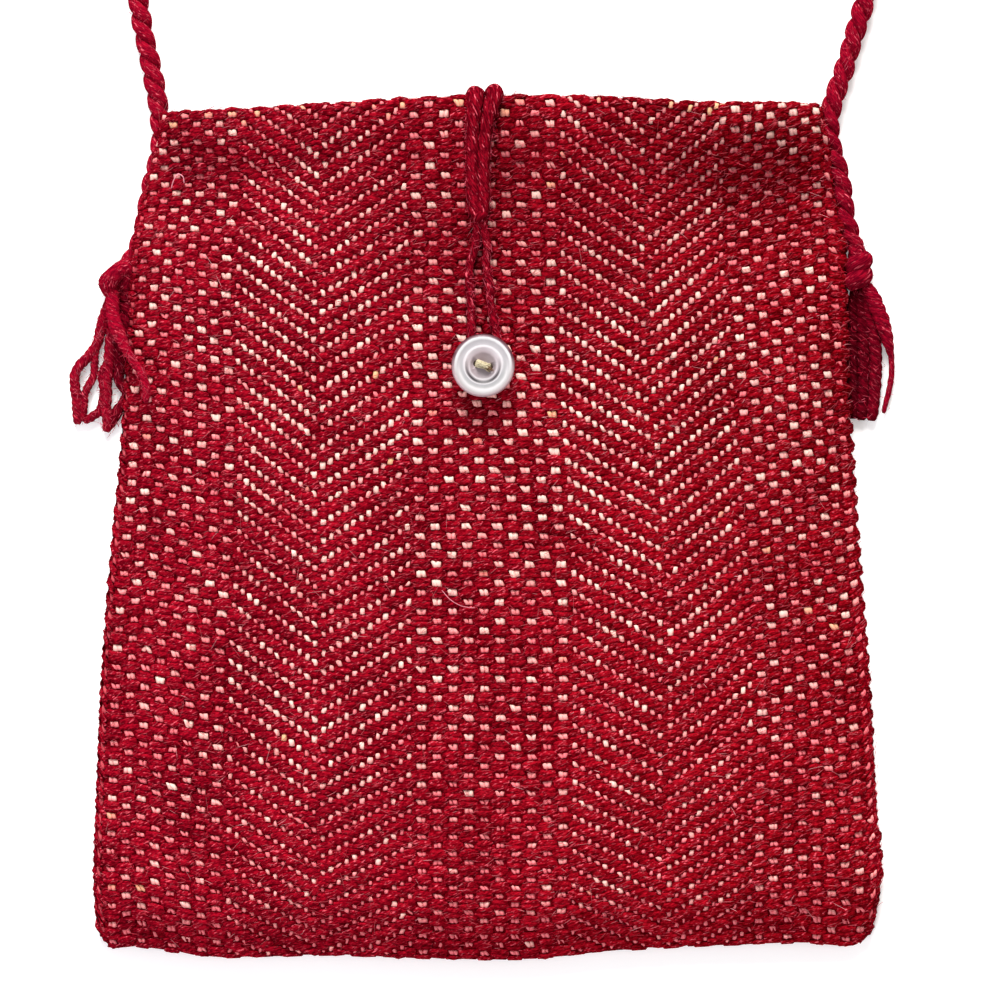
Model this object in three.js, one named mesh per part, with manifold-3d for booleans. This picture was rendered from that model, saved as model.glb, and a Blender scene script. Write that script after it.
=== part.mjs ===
// A handwoven shoulder bag lying on its back, mouth towards +Y and front towards +Z, in millimetres.
// The origin is on the surface that it lies on, under the middle of the pouch.
import * as THREE from 'three';
import { mergeVertices } from 'three/addons/utils/BufferGeometryUtils.js';
import Module from 'manifold-3d';

const wasm = await Module();
wasm.setup();

const { lerp, clamp } = THREE.MathUtils;

// Driving dimensions
const clearance = 0.3;
const clothThickness = 2.8;
const fullHeight = 13;
const seamHeight = 6;
const tuckedSeamHeight = 10;
const shoulder = 26;
const seamAllowance = 8;
const foldAllowance = 4.5;
const strapWidth = 6;
const strapLay = 11.8;
const strapStep = 2;
const coilRadius = 31.5;
const coilCentre = { x: 0, y: 204 };
const loopWidth = 3.4;
const loopLay = 8;
const loopStep = 1.6;
const strandSide = 2.3;
const strandStep = 3.5;
const buttonRadius = 9;
const buttonRidgeRadius = 5.5;
const buttonWellRadius = 4.2;
const buttonWellFloor = 1.5;
const buttonCentre = { x: -1.1, y: 46 };
const holeSpacing = 3.6;
const holeRadius = 1.25;
const threadRadius = 0.85;

// How many facets go into each form
const facets = {
  pouch: { columns: 24, rows: 28 },
  inside: { columns: 14, rows: 16 },
  knot: { around: 14, along: 10 },
  coil: 36,
  button: 32,
  hole: 14,
  thread: 12,
};

// The pouch's side edges, up the bag. tuck is 1 where the strap's end runs under the left edge and lifts it.
const sideRows = [
  { y: -118, left: -111, right: 110, tuck: 0 },
  { y: -104, left: -112.5, right: 112.4, tuck: 0 },
  { y: -80, left: -111.9, right: 111.4, tuck: 0 },
  { y: -40, left: -110.2, right: 108.9, tuck: 0 },
  { y: 0, left: -107.1, right: 105.8, tuck: 0 },
  { y: 20, left: -105.1, right: 104.6, tuck: 0 },
  { y: 40, left: -104, right: 103.4, tuck: 0 },
  { y: 62, left: -102.6, right: 102.4, tuck: 0 },
  { y: 80, left: -99.6, right: 100.5, tuck: 1 },
  { y: 95, left: -96.6, right: 98.5, tuck: 1 },
  { y: 110, left: -93.9, right: 95, tuck: 1 },
  { y: 119, left: -93.8, right: 94.4, tuck: 1 },
];

// The pouch's top and bottom edges, from the left side (0) to the right side (1), and the depth of the
// soft trough under the top hem.
const edgeRows = [
  { across: 0, top: 117.6, bottom: -116.6, trough: 0.3 },
  { across: 0.02, top: 118.6, bottom: -120.6, trough: 0.8 },
  { across: 0.06, top: 119.4, bottom: -120.9, trough: 1.5 },
  { across: 0.15, top: 120.1, bottom: -122.6, trough: 2 },
  { across: 0.3, top: 121.7, bottom: -122.3, trough: 1.1 },
  { across: 0.45, top: 123.7, bottom: -123.5, trough: 0.6 },
  { across: 0.55, top: 124.1, bottom: -123.4, trough: 0.5 },
  { across: 0.65, top: 123.6, bottom: -121, trough: 0.6 },
  { across: 0.78, top: 122.1, bottom: -120.2, trough: 1.1 },
  { across: 0.9, top: 121.4, bottom: -119.4, trough: 2 },
  { across: 0.96, top: 121.2, bottom: -119.9, trough: 1.5 },
  { across: 0.985, top: 120.6, bottom: -119.2, trough: 0.8 },
  { across: 1, top: 119, bottom: -115.4, trough: 0.3 },
];
const troughDrop = 19;
const troughReach = 7.5;

// How far each layer of the pouch's rim stands back from its outline, from the back (0) to the front (1):
// at a plain side seam, where the strap's end is tucked under, at the bottom fold and at the mouth.
const rimRows = [
  { through: 0, side: 1.2, tucked: 4.2, fold: 3.4, mouth: 2.4 },
  { through: 0.2, side: 0.3, tucked: 4.2, fold: 1.2, mouth: 1.6 },
  { through: 0.45, side: 0, tucked: 4.2, fold: 0.1, mouth: 0.8 },
  { through: 0.72, side: 0, tucked: 0.5, fold: 0.3, mouth: 0.2 },
  { through: 0.88, side: 0.4, tucked: 0, fold: 1.3, mouth: 0 },
  { through: 1, side: 1.2, tucked: 0.8, fold: 3.2, mouth: 0.7 },
];

// The strap's route from each knot up its side seam, past the corner and on to the coil
const strapFloor = clearance + strapWidth / 2;
const strapLeftRoute = [
  { x: -103.1, y: 75.1, z: strapFloor },
  { x: -100.2, y: 79.6, z: strapFloor },
  { x: -98.6, y: 84.9, z: strapFloor },
  { x: -97.6, y: 90.6, z: strapFloor },
  { x: -96.5, y: 96.3, z: strapFloor },
  { x: -95, y: 102, z: strapFloor },
  { x: -93.8, y: 107.7, z: strapFloor },
  { x: -93.5, y: 113.4, z: strapFloor },
  { x: -94, y: 118.6, z: strapFloor },
  { x: -96.4, y: 132.3, z: strapFloor },
  { x: -98.4, y: 141.4, z: strapFloor },
  { x: -99.9, y: 150.6, z: strapFloor },
  { x: -100.6, y: 166, z: strapFloor },
  { x: -97.5, y: 184, z: strapFloor },
  { x: -89, y: 202, z: strapFloor },
  { x: -74, y: 218, z: strapFloor },
  { x: -54, y: 230, z: strapFloor },
  { x: -36, y: 236, z: strapFloor },
  { x: -21, y: 238.6, z: strapFloor },
];
const strapRightRoute = [
  { x: 105.8, y: 79.9, z: strapFloor },
  { x: 103.2, y: 86.5, z: strapFloor },
  { x: 102.1, y: 94, z: strapFloor },
  { x: 101, y: 101, z: strapFloor },
  { x: 99.2, y: 107.7, z: strapFloor },
  { x: 98.2, y: 113.4, z: strapFloor },
  { x: 98.5, y: 118.6, z: strapFloor },
  { x: 102.7, y: 132.3, z: strapFloor },
  { x: 105.4, y: 141.4, z: strapFloor },
  { x: 108.2, y: 150.6, z: strapFloor },
  { x: 110.5, y: 166, z: strapFloor },
  { x: 107.5, y: 184, z: strapFloor },
  { x: 98, y: 202, z: strapFloor },
  { x: 82, y: 218, z: strapFloor },
  { x: 61, y: 230, z: strapFloor + 0.4 },
  { x: 40, y: 236.5, z: strapFloor + 1.6 },
  { x: 21.3, y: 238.6, z: strapFloor + 3 },
];

// The closing loop's two strands, from their sewn ends inside the back, over the mouth and down the front
const loopFloor = fullHeight + clearance + loopWidth / 2;
const loopRows = [
  { y: 106, left: -4.2, right: 0, z: clothThickness + clearance + loopWidth / 2 },
  { y: 115, left: -4.1, right: 0.6, z: clothThickness + clearance + loopWidth / 2 },
  { y: 122.5, left: -3.9, right: 1.4, z: 6.6 },
  { y: 126.2, left: -3.8, right: 1.9, z: 10.6 },
  { y: 125.2, left: -3.8, right: 1.8, z: 14 },
  { y: 120.5, left: -4, right: 0.9, z: loopFloor + 0.3 },
  { y: 112, left: -4.2, right: -0.3, z: loopFloor },
  { y: 99.7, left: -4.3, right: -0.3, z: loopFloor },
  { y: 91, left: -3.8, right: -0.6, z: loopFloor },
  { y: 87, left: -3, right: -1, z: loopFloor + 0.4 },
  { y: 80.3, left: -3.7, right: 0, z: loopFloor },
  { y: 67.7, left: -5.3, right: 1.1, z: loopFloor },
  { y: 55.7, left: -5.4, right: 2.5, z: loopFloor },
  { y: 47.5, left: -5, right: 2.7, z: loopFloor },
  { y: 43, left: -3.4, right: 1.2, z: loopFloor },
  { y: 41.5, left: -1.1, right: -1.1, z: loopFloor },
];
const loopKnot = { x: -2, y: 87.2, z: loopFloor + 0.6, width: 6.4, length: 5.4, height: 4.6 };

// The tassels: a knot in the strap's end, and the loose strands below it, which lie on the surface
const strandFloor = strandSide / 2 + 0.05;
const tasselLeft = {
  name: 'tassel_left',
  knot: { x: -106.3, y: 71.6, z: 4.4, width: 8, length: 8.8, height: 7.8 },
  strands: [
    [
      { x: -107.5, y: 68, z: 2.5 },
      { x: -112.4, y: 59, z: strandFloor },
      { x: -114.3, y: 53.5, z: strandFloor },
      { x: -116.4, y: 47.4, z: strandFloor },
      { x: -118.2, y: 42.6, z: strandFloor },
      { x: -117.9, y: 36.4, z: strandFloor },
      { x: -116.9, y: 29.2, z: strandFloor },
    ],
    [
      { x: -107.2, y: 68, z: 2.5 },
      { x: -109.8, y: 59.4, z: strandFloor },
      { x: -111.4, y: 51.5, z: strandFloor },
      { x: -112.8, y: 45.3, z: strandFloor },
      { x: -113.9, y: 39.5, z: strandFloor },
      { x: -113.4, y: 32.4, z: strandFloor },
    ],
    [
      { x: -106.6, y: 68, z: 2.5 },
      { x: -107.1, y: 60, z: strandFloor },
      { x: -108.3, y: 51, z: strandFloor },
      { x: -109.6, y: 43, z: strandFloor },
      { x: -109, y: 36.4, z: strandFloor },
      { x: -109.3, y: 27.6, z: strandFloor },
    ],
    [
      { x: -105.6, y: 68, z: 2.5 },
      { x: -104.4, y: 60, z: strandFloor },
      { x: -104.9, y: 52, z: strandFloor },
      { x: -105.9, y: 44, z: strandFloor },
      { x: -106.1, y: 40.4, z: strandFloor },
    ],
    [
      { x: -106.4, y: 69, z: 5.5 },
      { x: -106.2, y: 62, z: 6.6 },
      { x: -105.1, y: 56, z: 8.2 },
      { x: -102.6, y: 50.8, z: 9.6 },
      { x: -99.6, y: 46.2, z: 11.1 },
      { x: -97.2, y: 42, z: 12 },
      { x: -96.6, y: 36, z: 12.2 },
    ],
  ],
};
const tasselRight = {
  name: 'tassel_right',
  knot: { x: 107.1, y: 73.8, z: 4.4, width: 8.2, length: 12, height: 7.8 },
  strands: [
    [
      { x: 106.8, y: 68.5, z: 2.4 },
      { x: 105, y: 61, z: strandFloor },
      { x: 104.7, y: 50, z: strandFloor },
      { x: 105.1, y: 40, z: strandFloor },
      { x: 105.5, y: 31.6, z: strandFloor },
    ],
    [
      { x: 107.4, y: 68.5, z: 2.4 },
      { x: 107.8, y: 60, z: strandFloor },
      { x: 107.6, y: 49, z: strandFloor },
      { x: 107.9, y: 39, z: strandFloor },
      { x: 108.2, y: 30.8, z: strandFloor },
    ],
    [
      { x: 108, y: 68.5, z: 2.4 },
      { x: 110.6, y: 60, z: strandFloor },
      { x: 110.4, y: 49, z: strandFloor },
      { x: 110.7, y: 39, z: strandFloor },
      { x: 110.9, y: 31, z: strandFloor },
    ],
    [
      { x: 108.6, y: 69.5, z: 3 },
      { x: 112.6, y: 63.5, z: 1.6 },
      { x: 115, y: 57.5, z: strandFloor },
      { x: 115.9, y: 52.3, z: strandFloor },
      { x: 115.6, y: 44, z: strandFloor },
      { x: 114.6, y: 35.6, z: strandFloor },
      { x: 113.9, y: 32.2, z: strandFloor },
    ],
  ],
};

const materials = {
  cloth: new THREE.MeshStandardMaterial({ color: 0xa8243a, roughness: 0.95, metalness: 0 }),
  strap: new THREE.MeshStandardMaterial({ color: 0x9c1230, roughness: 0.95, metalness: 0 }),
  loop: new THREE.MeshStandardMaterial({ color: 0x960f28, roughness: 0.95, metalness: 0 }),
  button: new THREE.MeshStandardMaterial({ color: 0xe4e0e0, roughness: 0.2, metalness: 0 }),
  thread: new THREE.MeshStandardMaterial({ color: 0xe0cfa0, roughness: 0.8, metalness: 0 }),
};

// Solids from geometry, and back
function toSolid(geometry) {
  geometry.deleteAttribute('normal');
  geometry.deleteAttribute('uv');
  const merged = mergeVertices(geometry);
  const mesh = new wasm.Mesh({
    numProp: 3,
    vertProperties: merged.attributes.position.array,
    triVerts: new Uint32Array(merged.index.array),
  });
  return new wasm.Manifold(mesh);
}

function toMesh(name, solid, material) {
  const { vertProperties, triVerts } = solid.getMesh();
  const geometry = new THREE.BufferGeometry();
  geometry.setAttribute('position', new THREE.BufferAttribute(vertProperties, 3));
  geometry.setIndex(new THREE.BufferAttribute(triVerts, 1));
  geometry.computeVertexNormals();
  const mesh = new THREE.Mesh(geometry, material);
  mesh.name = name;
  return mesh;
}

function movePoints(geometry, place) {
  const { position } = geometry.attributes;
  const point = new THREE.Vector3();
  for (let i = 0; i < position.count; i += 1) {
    place(point.fromBufferAttribute(position, i));
    position.setXYZ(i, point.x, point.y, point.z);
  }
  return geometry;
}

// A smooth curve through one column of a table
function readColumn(rows, key, column) {
  const keys = rows.map((row) => row[key]);
  const values = rows.map((row) => row[column]);
  const curve = new THREE.CubicInterpolant(keys, values, 1);
  return (at) => curve.evaluate(clamp(at, keys[0], keys.at(-1)))[0];
}

// The pouch
const leftEdge = readColumn(sideRows, 'y', 'left');
const rightEdge = readColumn(sideRows, 'y', 'right');
const tuckColumn = readColumn(sideRows, 'y', 'tuck');
const topEdge = readColumn(edgeRows, 'across', 'top');
const bottomEdge = readColumn(edgeRows, 'across', 'bottom');
const troughDepth = readColumn(edgeRows, 'across', 'trough');

function tuckAt(y) {
  return clamp(tuckColumn(y), 0, 1);
}

function swell(share) {
  return 1 - (1 - clamp(share, 0, 1)) ** 2;
}

function crowdToEnds(share) {
  return 0.5 - 0.5 * Math.cos(Math.PI * share);
}

function frontHeight(x, y) {
  const left = leftEdge(y);
  const right = rightEdge(y);
  const across = (x - left) / (right - left);
  const toSide = Math.min(x - left, right - x);
  const lift = (tuckedSeamHeight - seamHeight) * tuckAt(y);
  const seam = seamHeight + lift * clamp(1 - across, 0, 1);
  const rise = swell(toSide / shoulder) * swell((y - bottomEdge(across)) / shoulder);
  const fromTrough = (topEdge(across) - troughDrop - y) / troughReach;
  return seam + (fullHeight - seam) * rise - troughDepth(across) * Math.exp(-(fromTrough ** 2));
}

function makePouch() {
  const { columns, rows } = facets.pouch;
  const layers = rimRows.length - 1;
  const outside = movePoints(new THREE.BoxGeometry(1, 1, 1, columns, rows, layers), (point) => {
    const across = crowdToEnds(point.x + 0.5);
    const up = crowdToEnds(point.y + 0.5);
    const rim = rimRows[Math.round((point.z + 0.5) * layers)];
    const y = lerp(bottomEdge(across) + rim.fold, topEdge(across) - rim.mouth, up);
    const left = leftEdge(y) + lerp(rim.side, rim.tucked, tuckAt(y));
    const x = lerp(left, rightEdge(y) - rim.side, across);
    point.set(x, y, rim.through * frontHeight(x, y));
  });
  const pastMouth = 6;
  const hollow = new THREE.BoxGeometry(1, 1, 1, facets.inside.columns, facets.inside.rows, 1);
  const inside = movePoints(hollow, (point) => {
    const across = crowdToEnds(point.x + 0.5);
    const up = crowdToEnds(point.y + 0.5);
    const y = lerp(bottomEdge(across) + foldAllowance, topEdge(across) + pastMouth, up);
    const x = lerp(leftEdge(y) + seamAllowance, rightEdge(y) - seamAllowance, across);
    const roof = frontHeight(x, Math.min(y, topEdge(across))) - clothThickness;
    point.set(x, y, point.z < 0 ? clothThickness : roof);
  });
  return toMesh('pouch', toSolid(outside).subtract(toSolid(inside)), materials.cloth);
}

// A cord of two plies twisted together along a curve, or a plain strand where it has no lay
function cordAlong(curve, { width, sides, step, lay = Infinity, waist = 0, firstTurn = 0, floor = 0 }) {
  const length = curve.getLength();
  const steps = Math.ceil(length / step);
  const frames = curve.computeFrenetFrames(steps, false);
  return movePoints(new THREE.CylinderGeometry(1, 1, 1, sides, steps), (point) => {
    const along = point.y + 0.5;
    const ring = Math.round(along * steps);
    const around = Math.atan2(-point.z, point.x);
    const radius = Math.hypot(point.x, point.z) * (width / 2) * (1 - waist * Math.sin(around) ** 2);
    const turn = around + firstTurn - (2 * Math.PI * along * length) / lay;
    curve.getPointAt(along, point);
    point.z = Math.max(point.z, floor);
    point.addScaledVector(frames.normals[ring], radius * Math.cos(turn));
    point.addScaledVector(frames.binormals[ring], radius * Math.sin(turn));
  });
}

function routeCurve(route) {
  return new THREE.CatmullRomCurve3(route.map(({ x, y, z }) => new THREE.Vector3(x, y, z)));
}

// A pulled-tight overhand knot: an egg with its wraps raised as slanting ridges
function knotSolid({ x, y, z, width, length, height }) {
  const ridge = 0.09;
  const wraps = 2;
  const knot = movePoints(new THREE.SphereGeometry(1, facets.knot.around, facets.knot.along), (point) => {
    const slant = wraps * (Math.atan2(point.z, point.x) + Math.PI * point.y);
    const swollen = 1 + ridge * Math.cos(slant) * (1 - point.y ** 2);
    point.multiplyScalar(swollen);
    point.set(x + (point.x * width) / 2, y + (point.y * length) / 2, z + (point.z * height) / 2);
  });
  return toSolid(knot);
}

// The strap: its two twisted ends, and the coil of its length between them
const strapPly = { width: strapWidth, sides: 8, step: strapStep, lay: strapLay, waist: 0.36 };

function makeStrapEnd(name, route) {
  return toMesh(name, toSolid(cordAlong(routeCurve(route), strapPly)), materials.strap);
}

function makeCoil() {
  const inner = coilRadius - strapWidth - clearance;
  const outer = coilRadius + strapWidth + clearance;
  const top = clearance + strapWidth * (1 + Math.sqrt(3) / 2);
  const round = 1.6;
  const section = new THREE.Shape();
  section.moveTo(inner + round, clearance);
  section.lineTo(outer - round, clearance);
  section.absarc(outer - round, clearance + round, round, -Math.PI / 2, 0);
  section.lineTo(outer, top - strapWidth);
  section.quadraticCurveTo(outer, top, coilRadius + round, top);
  section.lineTo(coilRadius - round, top);
  section.quadraticCurveTo(inner, top, inner, top - strapWidth);
  section.absarc(inner + round, clearance + round, round, Math.PI, 1.5 * Math.PI);
  const profile = section.getPoints(2);
  profile[profile.length - 1].copy(profile[0]);
  const ring = new THREE.LatheGeometry(profile, facets.coil).rotateX(Math.PI / 2);
  ring.translate(coilCentre.x, coilCentre.y, 0);
  return toMesh('strap_coil', toSolid(ring), materials.strap);
}

// A tassel: its knot with the strands' roots inside it
function makeTassel({ name, knot, strands }) {
  const strand = {
    width: strandSide * Math.SQRT2,
    sides: 4,
    step: strandStep,
    firstTurn: Math.PI / 4,
    floor: strandFloor,
  };
  let solid = knotSolid(knot);
  for (const route of strands) {
    solid = solid.add(toSolid(cordAlong(routeCurve(route), strand)));
  }
  return toMesh(name, solid, materials.strap);
}

// The closing loop: two twisted strands that join round the button's thread, and their knot
function makeLoop() {
  const ply = { width: loopWidth, sides: 6, step: loopStep, lay: loopLay, waist: 0.36 };
  let solid = knotSolid(loopKnot);
  for (const side of ['left', 'right']) {
    const route = loopRows.map((row) => ({ x: row[side], y: row.y, z: row.z }));
    solid = solid.add(toSolid(cordAlong(routeCurve(route), ply)));
  }
  return toMesh('closing_loop', solid, materials.loop);
}

// The button: a dished disc with a ridge round its well, held above the loop by the thread's shank
const buttonBottom = fullHeight + loopWidth + 3 * clearance;
const buttonProfile = [
  { radius: 0, height: 0 },
  { radius: buttonRadius - 3, height: 0 },
  { radius: buttonRadius - 0.6, height: 0.7 },
  { radius: buttonRadius, height: 1.6 },
  { radius: buttonRadius - 0.2, height: 2.5 },
  { radius: buttonRadius - 0.7, height: 2.8 },
  { radius: buttonRadius - 1.3, height: 2.7 },
  { radius: buttonRidgeRadius + 0.5, height: 2.1 },
  { radius: buttonRidgeRadius, height: 2.3 },
  { radius: buttonRidgeRadius - 0.5, height: 2.2 },
  { radius: buttonWellRadius, height: buttonWellFloor },
  { radius: 0, height: buttonWellFloor },
];

function makeButton() {
  const profile = buttonProfile.map(({ radius, height }) => new THREE.Vector2(radius, height));
  const disc = new THREE.LatheGeometry(profile, facets.button).rotateX(Math.PI / 2);
  let solid = toSolid(disc.translate(buttonCentre.x, buttonCentre.y, buttonBottom));
  const drillLength = 8;
  for (const side of [-1, 1]) {
    const hole = new THREE.CylinderGeometry(holeRadius, holeRadius, drillLength, facets.hole);
    hole.rotateX(Math.PI / 2);
    hole.translate(buttonCentre.x + (side * holeSpacing) / 2, buttonCentre.y, buttonBottom);
    solid = solid.subtract(toSolid(hole));
  }
  return toMesh('button', solid, materials.button);
}

function makeThread() {
  const shankRadius = 1.5;
  const padHeight = 0.5;
  const padTop = buttonBottom - clearance;
  const stitchHeight = buttonBottom + buttonWellFloor + clearance + threadRadius;
  const upright = (radius, bottom, top, x) => {
    const post = new THREE.CylinderGeometry(radius, radius, top - bottom, facets.thread);
    post.rotateX(Math.PI / 2);
    return toSolid(post.translate(x, buttonCentre.y, (bottom + top) / 2));
  };
  const stitch = new THREE.CapsuleGeometry(threadRadius, holeSpacing, 4, 10).rotateZ(Math.PI / 2);
  stitch.translate(buttonCentre.x, buttonCentre.y, stitchHeight);
  const padRadius = holeSpacing / 2 + threadRadius;
  let solid = toSolid(stitch).add(upright(padRadius, padTop - padHeight, padTop, buttonCentre.x));
  solid = solid.add(upright(shankRadius, fullHeight + clearance, padTop, buttonCentre.x));
  for (const side of [-1, 1]) {
    const x = buttonCentre.x + (side * holeSpacing) / 2;
    solid = solid.add(upright(threadRadius, padTop - padHeight, stitchHeight, x));
  }
  return toMesh('button_thread', solid, materials.thread);
}

const bag = new THREE.Group();
bag.add(makePouch());
bag.add(makeStrapEnd('strap_left', strapLeftRoute));
bag.add(makeCoil());
bag.add(makeStrapEnd('strap_right', strapRightRoute));
bag.add(makeTassel(tasselLeft));
bag.add(makeTassel(tasselRight));
bag.add(makeLoop());
bag.add(makeButton());
bag.add(makeThread());

export default bag;
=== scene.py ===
import math

import bmesh
import bpy
import numpy as np
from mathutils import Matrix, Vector


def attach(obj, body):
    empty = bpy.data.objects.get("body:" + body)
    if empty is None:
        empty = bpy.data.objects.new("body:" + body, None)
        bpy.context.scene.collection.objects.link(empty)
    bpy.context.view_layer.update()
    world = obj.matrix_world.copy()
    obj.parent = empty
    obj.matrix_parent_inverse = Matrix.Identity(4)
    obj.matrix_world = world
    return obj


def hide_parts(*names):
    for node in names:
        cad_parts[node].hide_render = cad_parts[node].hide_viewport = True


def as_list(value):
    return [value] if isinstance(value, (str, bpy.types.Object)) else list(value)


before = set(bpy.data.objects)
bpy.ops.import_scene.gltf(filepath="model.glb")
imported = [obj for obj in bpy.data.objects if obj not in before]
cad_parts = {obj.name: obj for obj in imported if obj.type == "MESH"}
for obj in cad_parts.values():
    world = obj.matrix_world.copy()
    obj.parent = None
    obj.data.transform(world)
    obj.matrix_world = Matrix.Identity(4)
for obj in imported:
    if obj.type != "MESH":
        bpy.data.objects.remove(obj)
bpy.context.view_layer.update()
mm = 0.001  # sizes below are in millimetres, meshes in metres
chance = np.random.default_rng(17)


# Studio: the camera straight above the bag, a pale floor and soft light from beyond the mouth
studio = {
    "pixel": 2 / 7,  # millimetres to a pixel at the height of the cloth
    "image": 1000,
    "middle": (3.7, 7.7, 10),  # the point in the middle of the picture
    "lens": 250,
    "sensor": 36,
    "farthest": 20000,
    "floorSize": 9000,
    "floorDrop": 0.1,
    "floorColours": ((0.9, 0.9, 0.9), (0.93, 0.93, 0.93)),
    "floorGrain": (40, 40, 40),
    "floorFinish": {"Roughness": 0.85, "Specular IOR Level": 0.2, "Emission Color": (1, 1, 1, 1),
                    "Emission Strength": 0.25},
    "skyColour": (1, 1, 1),
    "skyStrength": 0.42,
    "lights": {
        # place, size, colour and watts
        "mouthLight": ((-240, 3700, 2400), 2100, (1, 0.985, 0.965), 400),
        "leftLight": ((-900, -900, 1000), 900, (0.92, 0.93, 1), 16),
        "rightLight": ((1200, -100, 900), 900, (1, 0.9, 0.82), 4),
    },
}


def setStage():
    scene = bpy.context.scene
    scene.view_settings.view_transform = "Standard"
    lens = bpy.data.cameras.new("overhead")
    lens.lens, lens.sensor_width = studio["lens"], studio["sensor"]
    lens.clip_end = studio["farthest"] * mm
    distance = studio["pixel"] * studio["image"] * studio["lens"] / studio["sensor"]
    camera = bpy.data.objects.new("overhead", lens)
    camera.location = (Vector(studio["middle"]) + Vector((0, 0, distance))) * mm
    scene.collection.objects.link(camera)
    scene.camera = camera
    for name, (place, size, colour, watts) in studio["lights"].items():
        lamp = bpy.data.lights.new(name, "AREA")
        lamp.size, lamp.color, lamp.energy = size * mm, colour, watts
        light = bpy.data.objects.new(name, lamp)
        light.location = Vector(place) * mm
        light.rotation_euler = (-light.location).to_track_quat("-Z", "Y").to_euler()
        light.visible_camera = False
        scene.collection.objects.link(light)
    scene.world = bpy.data.worlds.new("paleRoom")
    scene.world.use_nodes = True
    sky = scene.world.node_tree.nodes["Background"].inputs
    sky["Color"].default_value = (*studio["skyColour"], 1)
    sky["Strength"].default_value = studio["skyStrength"]


def makeFloor():
    material, shader, place = newMaterial("paleFloor", studio["floorFinish"])
    stops = {"stops": list(zip((0, 1), studio["floorColours"]))}
    grain = place.noise(studio["floorGrain"])
    feed(shader, Base_Color=place.node("ShaderNodeValToRGB", stops, {"Fac": grain}))
    shape = bmesh.new()
    bmesh.ops.create_grid(shape, x_segments=1, y_segments=1, size=studio["floorSize"] / 2 * mm)
    floor = bpy.data.objects.new("paleFloor", finishMesh(shape, "paleFloor"))
    floor.data.materials.append(material)
    floor.location.z = -studio["floorDrop"] * mm
    bpy.context.scene.collection.objects.link(floor)


# Shader maths: a wrapped socket, so that expressions add the nodes
class Shade:
    def __init__(self, socket):
        self.socket = socket

    def node(self, kind, settings=None, inputs=None, output=0):
        tree = self.socket.id_data
        made = tree.nodes.new(kind)
        for name, value in (settings or {}).items():  # set first, because they change the sockets
            if name == "stops":
                stops = made.color_ramp.elements
                while len(stops) < len(value):
                    stops.new(1)
                for stop, (place, colour) in zip(stops, value):
                    stop.position, stop.color = place, (*colour, 1)
            else:
                setattr(made, name, value)
        for name, value in (inputs or {}).items():
            if isinstance(value, Shade):
                tree.links.new(value.socket, made.inputs[name])
            else:
                made.inputs[name].default_value = value
        return Shade(made.outputs[output])

    def maths(self, operation, other):
        return self.node("ShaderNodeMath", {"operation": operation}, {0: self, 1: other})

    def __add__(self, other):
        return self.maths("ADD", other)

    def __mul__(self, other):
        return self.maths("MULTIPLY", other)

    def __sub__(self, other):
        return self.maths("SUBTRACT", other)

    def __rsub__(self, other):
        return self * -1 + other

    __radd__ = __add__
    __rmul__ = __mul__

    def scaled(self, factor):
        return self.node("ShaderNodeVectorMath", {"operation": "SCALE"}, {0: self, "Scale": factor})

    def mixed(self, other, factor):
        settings = {"data_type": "RGBA", "clamp_factor": True}
        return self.node("ShaderNodeMix", settings, {0: factor, 6: self, 7: other}, 2)

    def noise(self, scale, turn=0.0, detail=3.0, rough=0.6):
        # finer along an axis by its scale; the turn comes first
        inputs = {"Vector": self, "Rotation": (0, 0, turn), "Scale": [1 / part for part in scale]}
        placed = self.node("ShaderNodeMapping", {"vector_type": "TEXTURE"}, inputs)
        inputs = {"Vector": placed, "Scale": 1, "Detail": detail, "Roughness": rough}
        return placed.node("ShaderNodeTexNoise", None, inputs)


def newMaterial(name, constants, coordinates="Object"):
    material = bpy.data.materials.new(name)
    material.use_nodes = True
    tree = material.node_tree
    shader = tree.nodes["Principled BSDF"]
    for socket, value in constants.items():
        shader.inputs[socket].default_value = value
    return material, shader, Shade(tree.nodes.new("ShaderNodeTexCoord").outputs[coordinates])


def feed(shader, **links):
    for name, value in links.items():
        shader.id_data.links.new(value.socket, shader.inputs[name.replace("_", " ")])


# Wool and cotton: fibre streaks and bright flecks that run with the yarn, on each float's own dye; the
# flecks are pale fibres and painted glints
wool = {
    "constants": {"Roughness": 1, "Specular IOR Level": 0},
    "weftStreak": (700, 2500, 1200),  # per metre, along and across the fibres
    "weftTurn": 0.46,  # the fibres climb to the right
    "warpStreak": (2300, 500, 900),
    "warpTurn": 0.1,
    "hairStreak": (300, 300, 300),
    "cordStreak": (2.2, 0.65, 1),  # per millimetre, round and along a cord on its own map
    "threadStreak": (7.2, 1.3, 1),
    "cordTurn": -0.5,
    "crossTurn": 0.4,  # of the second set of streaks, against the first
    "streakMiddle": 0.56,
    "streakContrast": 5,
    "streakShare": 0.42,  # of the brighter colour on the whole
    "patchScale": {"Object": (45, 45, 45), "UV": (0.035, 0.013, 1)},
    "patchStrength": 0.6,
    "fibreHeight": 0.3,
    "fibreStrength": 0.6,
    "bright": (0.45, 0.008, 0.022),
    # colour of the flecks: pale fibres and painted glints
    "fleckGlint": (0.64, 0.085, 0.12),
    "fleckFineness": 0.7,  # against the streaks
    "fleckTurns": (1.2, 0.7),  # likewise
    "fleckStart": 0.63,
    "fleckContrast": 9,
    "dyeGain": 4,  # a dye with less than a quarter of red counts as deep
}


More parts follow.
